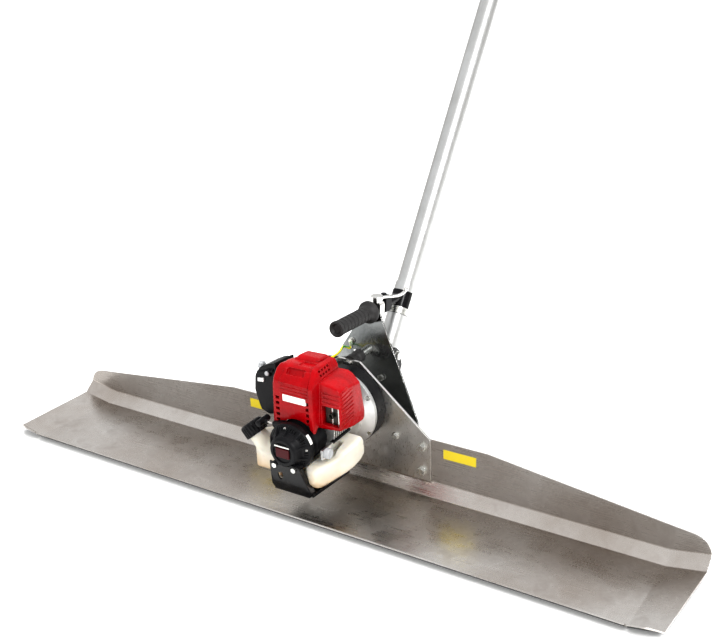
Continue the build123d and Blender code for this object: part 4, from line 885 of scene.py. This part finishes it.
def tank_cap():
    """Black ribbed filler cap."""
    ribs = 22

    def ribbed(angle, radius, height):
        depth = 1.5 if 10.5 < height < 31.0 and radius > 22 else 0.0
        return radius - depth * (0.5 - 0.5 * math.cos(ribs * angle)) ** 0.6

    outline = [(0, 19.2), (18.5, 19.2), (18.5, 8), (23.5, 8), (24.2, 9), (24.2, 12), (24.2, 14),
               (24.2, 20), (24.2, 26), (24.2, 29), (23.2, 32), (21, 34.2), (18, 35), (17, 34.2),
               (15, 34), (0, 34)]
    turned = lathe(outline, neck_matrix(), 176, ribbed)
    cap = piece("filler_cap", turned, "black_plastic", "tank_cap", 40)
    finish_shading(cap, 40)
    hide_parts("fuel_cap")


def air_cleaner():
    """Black air cleaner cap with a raised panel, a knob recess, a clip lug and a blank sticker."""
    cap = piece("air_cleaner_cap", hull([
        (-71, 94, 170), (-71, 157, 168), (-71, 96, 268), (-71, 155, 276), (-88, 96, 266),
        (-90, 154, 271), (-108, 98, 256), (-111, 153, 260), (-122, 100, 236), (-126, 153, 243),
        (-130, 103, 200), (-131, 151, 205), (-114, 98, 166), (-116, 155, 166), (-92, 96, 160),
        (-94, 157, 160)], 6, 5), "black_plastic", "filter_cover")
    panel = hull([(-120, 104, 176), (-120, 148, 176), (-132, 108, 200), (-132, 145, 200),
                  (-129, 108, 230), (-129, 145, 230), (-112, 106, 214), (-112, 146, 214)], 2.5, 3)
    rim = hull([*across(-71, -75.5, (92.5, 166), (158.5, 166), (94, 270)), (-71, 156.5, 279),
                (-75.5, 156.5, 278)], 1.6, 3)
    brow = hull([(-78, 159, 262), (-118, 157, 248), (-78, 150, 266), (-118, 148, 252), (-78, 159, 257),
                 (-118, 157, 243), (-78, 150, 257), (-118, 148, 243)], 1.4, 3)
    lug = hull(swept_outline([(-84, 262), (-84, 246), (-97, 258), (-97, 244)], 150, 160.5), 2.0, 3)
    shaped(cap, "UNION", [panel, rim, brow, lug])
    knob_at = seat_left(126, 248)
    room = [hull([(-60, 99, 171), (-60, 152, 171), (-60, 99, 262), (-60, 150, 268), (-104, 101, 250),
                  (-104, 148, 253), (-121, 106, 228), (-121, 146, 230), (-123, 106, 200),
                  (-123, 146, 200), (-110, 101, 171), (-110, 150, 171)], 4, 3),
            lathe([(0, 122.4), (11.5, 122.4), (12.5, 150), (0, 150)], knob_at, 48),
            lathe([(0, 90), (3.6, 90), (3.6, 150), (0, 150)], knob_at, 32)]
    shaped(cap, "DIFFERENCE", room)
    finish_shading(cap)
    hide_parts("air_cover")
    trim("air_sticker", hull([
        (-103, 157.4, 238), (-119, 155.2, 235), (-103, 157.4, 230), (-119, 155.2, 227), (-103, 154, 238),
        (-119, 152, 235), (-103, 154, 230), (-119, 152, 227)], 0.4, 2), "label_film", "filter_cover")
    stud = lathe(rounded_profile([(0, 158), (4.6, 158), (4.6, 163), (0, 163)], 1.2),
                 seat_ahead(-90.5, 253), 32)
    trim("cap_clip", stud, "grey_plastic", "filter_cover")

    def lobed(angle, radius, height):
        return radius - 1.6 * (0.5 - 0.5 * math.cos(8 * angle)) if radius > 6 else radius

    outline = [(0, 127.7), (3.1, 127.7), (3.1, 122.9), (8.2, 122.9), (9.8, 124), (9.8, 130), (9.0, 132),
               (6.5, 133), (5.5, 132.2), (0, 132.2)]
    knob = piece("cap_knob", lathe(outline, knob_at, 96, lobed), "grey_plastic", "cover_knob", 40)
    finish_shading(knob, 40)
    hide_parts("air_knob")


def pull_handle():
    """T-shaped starter grip with finger grooves, and the rope that pays out behind it."""
    grip_low, grip_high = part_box("starter_handle")
    middle = WALL.inverted() @ ((grip_low + grip_high) / 2)
    d, z = -middle.y, middle.z

    def grooved(angle, radius, height):
        return radius * (1.0 - 0.10 * math.exp(-((abs(height) - 9.0) / 4.0) ** 2))

    bar_at = WALL @ Matrix.Translation((-76, -d, z)) @ Matrix.Rotation(math.radians(90), 4, "X")
    outline = [(0, -18), (4.5, -18), (6.4, -16.6), (7, -14)]
    outline += [(7, -14 + 2 * step) for step in range(1, 15)]
    outline += [(6.4, 16.6), (4.5, 18), (0, 18)]
    handle = piece("pull_handle", lathe(outline, bar_at, 48, grooved), "black_plastic", "pull_grip")
    neck = lathe([(0, 63.9), (4.2, 63.9), (5.0, 65), (5.0, 68), (4.0, 69), (5.2, 72), (6.2, 76),
                  (0, 76)], seat_left(d, z), 48)
    shaped(handle, "UNION", [neck])
    finish_shading(handle, 40)
    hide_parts("starter_handle")
    casing_end, neck_end, rings = Vector((-45.5, -d, z)), Vector((-68.0, -d, z)), 160
    path = [WALL @ casing_end.lerp(neck_end, step / rings) for step in range(rings + 1)]
    rope = from_bmesh("pull_rope", tube(path, 0.0018, 14), FINISHES["rope_fibre"], None)
    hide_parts("starter_rope")
    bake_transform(rope)


def grip():
    """Rubber grip: dished end, fine lengthwise ribs between plain rings, and a flange."""
    low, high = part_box("handle_grip")
    centre = (low + high) / 2
    end = Matrix.Translation((centre.x, low.y, centre.z))
    along = end @ Matrix.Rotation(math.radians(-90), 4, "X") @ MM
    length = (high.y - low.y) * 1000
    outline = [(0, 6), (9, 6), (10.5, 2), (12.5, 0), (15.6, 0), (16.8, 1.6), (16.8, 6), (15.4, 8)]
    rib_start, ring_pitch, ring_width, ring_depth = 8.0, 13.0, 2.2, 1.1
    height = rib_start
    while height < length - 22:
        height += 0.75
        in_ring = (height - rib_start) % ring_pitch < ring_width
        outline.append((15.3 - (ring_depth if in_ring else 0.0), height))
    outline += [(15.6, length - 20), (16.5, length - 15), (19.0, length - 10), (23.2, length - 7.5),
                (24, length - 5.5), (24, length - 1.2), (23, length), (11.05, length),
                (11.05, length - 1), (11.05, 7.5), (0, 7.5)]

    def ribbed(angle, radius, at):
        if 14.9 < radius < 15.4 and rib_start < at < length - 21:
            return radius + 0.55 * max(0.0, math.sin(26 * angle))
        return radius

    rubber_grip = piece("grip_rubber", lathe(outline, along, 156, ribbed), "black_rubber", "frame", 40)
    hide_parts("handle_grip")


def oil_plug():
    """Round grey oil filler plug with a fluted rim and a dished face."""
    seat = WALL @ Matrix.Translation((62.1, -194, 134)) @ Matrix.Rotation(math.radians(90), 4, "Y")

    def fluted(angle, radius, height):
        on_rim = radius > 10 and height > 0.5
        return radius - 0.5 * max(0.0, math.cos(24 * angle)) if on_rim else radius

    outline = rounded_profile([(0, -4.6), (5.9, -4.6), (5.9, 0.1), (10.5, 0.1), (10.5, 1.6), (10.5, 9.0),
                               (9.0, 10.8), (7.2, 10.8), (6.4, 9.4), (0, 9.4)], 0.9)
    plug = piece("oil_filler_plug", lathe(outline, seat, 144, fluted), "grey_plastic", "oil_plug", 40)
    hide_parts("oil_cap")


def earth_wire():
    """Striped earth wire from its lug on the handle plate, over the engine plate, to the engine."""
    lean = 0.2586                         # how far the handle plate falls back per millimetre of height
    path = [WALL @ Vector((x, -d, z)) for x, d, z in smooth_path([
        (-43, -71.0, 225), (-44.5, -68.6, 221.5), (-50, -55.3, 229.8), (-43, -29.3, 231),
        (-36, -0.7, 235.5), (-36, 44, 240), (-36, 88, 240)])]
    wire = piece("earth_lead", tube(path, 0.0024, 18), "wire_cover")
    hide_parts("earth_wire")
    at = WALL @ Matrix.Translation((-41, 75.9, 237)) @ Matrix.Rotation(math.radians(75.5), 4, "X")
    eye = lathe([(3.2, 0.1), (7, 0.1), (7, 1.7), (3.2, 1.7)], at, 40)
    tongue = hull([(x, -75.9 + lean * (237 - z) + lift, z) for x in (-46, -39) for z in (221, 232)
                   for lift in (0.1, 1.8)], 0.4, 2)
    trim("earth_lug", merged(eye, tongue), "zinc_steel")


# ---------------------------------------------------------------- studio
CAMERA_AT = (1.0912, -1.6636, 1.0770)
CAMERA_TURN = 31.0                        # degrees, camera's heading left of the blade's normal
CAMERA_DOWN = 19.44
CAMERA_ROLL = 0.72
LENS = 54.85


def camera():
    """Camera at the reference view."""
    turn, down, roll = (math.radians(v) for v in (CAMERA_TURN, CAMERA_DOWN, CAMERA_ROLL))
    forward = Vector((-math.sin(turn) * math.cos(down), math.cos(turn) * math.cos(down),
                      -math.sin(down)))
    level = Vector((math.cos(turn), math.sin(turn), 0))
    up = level.cross(forward)
    right = level * math.cos(roll) + up * math.sin(roll)
    above = right.cross(forward)
    data = bpy.data.cameras.new("camera")
    data.lens = LENS
    data.sensor_width = 36.0
    data.clip_end = 100.0
    eye = bpy.data.objects.new("camera", data)
    eye.matrix_world = (Matrix.Translation(CAMERA_AT)
                        @ Matrix((right, above, -forward)).transposed().to_4x4())
    bpy.context.scene.collection.objects.link(eye)
    bpy.context.scene.camera = eye


def soft_light(name, at, target, size, power, mirrored=False):
    """Softbox that points at a target; only some show up in reflections."""
    data = bpy.data.lights.new(name, "AREA")
    data.shape = "RECTANGLE"
    data.size, data.size_y = size
    data.energy = power
    lamp = bpy.data.objects.new(name, data)
    lamp.location = at
    lamp.rotation_euler = (Vector(target) - Vector(at)).to_track_quat("-Z", "Y").to_euler()
    lamp.visible_glossy = mirrored
    bpy.context.scene.collection.objects.link(lamp)


def sun_light(name, towards, strength, spread):
    """Even light from one direction with very soft shadows, so that the whole floor stays pale."""
    data = bpy.data.lights.new(name, "SUN")
    data.energy = strength
    data.angle = math.radians(spread)
    lamp = bpy.data.objects.new(name, data)
    lamp.rotation_euler = Vector(towards).to_track_quat("Z", "Y").to_euler()
    lamp.visible_glossy = False
    bpy.context.scene.collection.objects.link(lamp)


def world():
    """Pale room that dims towards the horizon, so that metal has something to mirror."""
    room = bpy.data.worlds.new("room")
    bpy.context.scene.world = room
    room.use_nodes = True
    tree = room.node_tree
    tree.nodes.clear()

    def add(kind):
        return tree.nodes.new("ShaderNode" + kind)

    direction = add("TexCoord")
    split = add("SeparateXYZ")
    tree.links.new(direction.outputs["Generated"], split.inputs[0])
    height = add("ValToRGB")
    tree.links.new(split.outputs["Z"], height.inputs[0])
    stops = height.color_ramp.elements
    stops[0].position, stops[0].color = 0.0, (0.62, 0.60, 0.58, 1)
    stops[1].position, stops[1].color = 1.0, (1.0, 1.0, 1.0, 1)
    for position, colour in ((0.22, (0.66, 0.65, 0.64, 1)), (0.45, (0.98, 0.99, 1.0, 1))):
        stop = stops.new(position)
        stop.color = colour
    background = add("Background")
    background.inputs["Strength"].default_value = 0.85
    tree.links.new(height.outputs[0], background.inputs[0])
    output = add("OutputWorld")
    tree.links.new(background.outputs[0], output.inputs[0])


def floor():
    """Plain pale floor under the sole."""
    half, below_sole = 30.0, -0.0005
    bm = bmesh.new()
    turns = ((-half, -half), (half, -half), (half, half), (-half, half))
    bm.faces.new([bm.verts.new((x, y, below_sole)) for x, y in turns])
    s = Shader("floor_paint")
    tone = s.mix(s.noise(0.8, 3.0), (0.93, 0.93, 0.92), (0.90, 0.90, 0.89))
    paint = s.surface(Base_Color=tone, Roughness=0.9, Emission_Color=tone, Emission_Strength=0.12)
    ground = from_bmesh("floor", bm, paint, None)


engine_cover()
crankcase_fins()
starter_casing()
guard()
tank()
tank_cap()
air_cleaner()
pull_handle()
grip()
oil_plug()
earth_wire()

floor()
world()
camera()
soft_light("key", (3.0, -1.2, 2.8), (0, 0, 0.15), (1.4, 1.4), 95, mirrored=True)
soft_light("front", (-1.4, -3.2, 1.8), (0, 0, 0.1), (2.2, 1.6), 24)
soft_light("top", (-0.2, 0.4, 3.4), (0, 0, 0), (3.0, 2.0), 55)
soft_light("rim", (-2.4, 2.6, 1.8), (0, 0, 0.2), (1.2, 1.8), 20)
sun_light("sun", (-0.3, 0.5, 1.0), 0.9, 60)
bpy.context.scene.view_settings.view_transform = "Standard"
bpy.context.scene.view_settings.look = "Medium High Contrast"
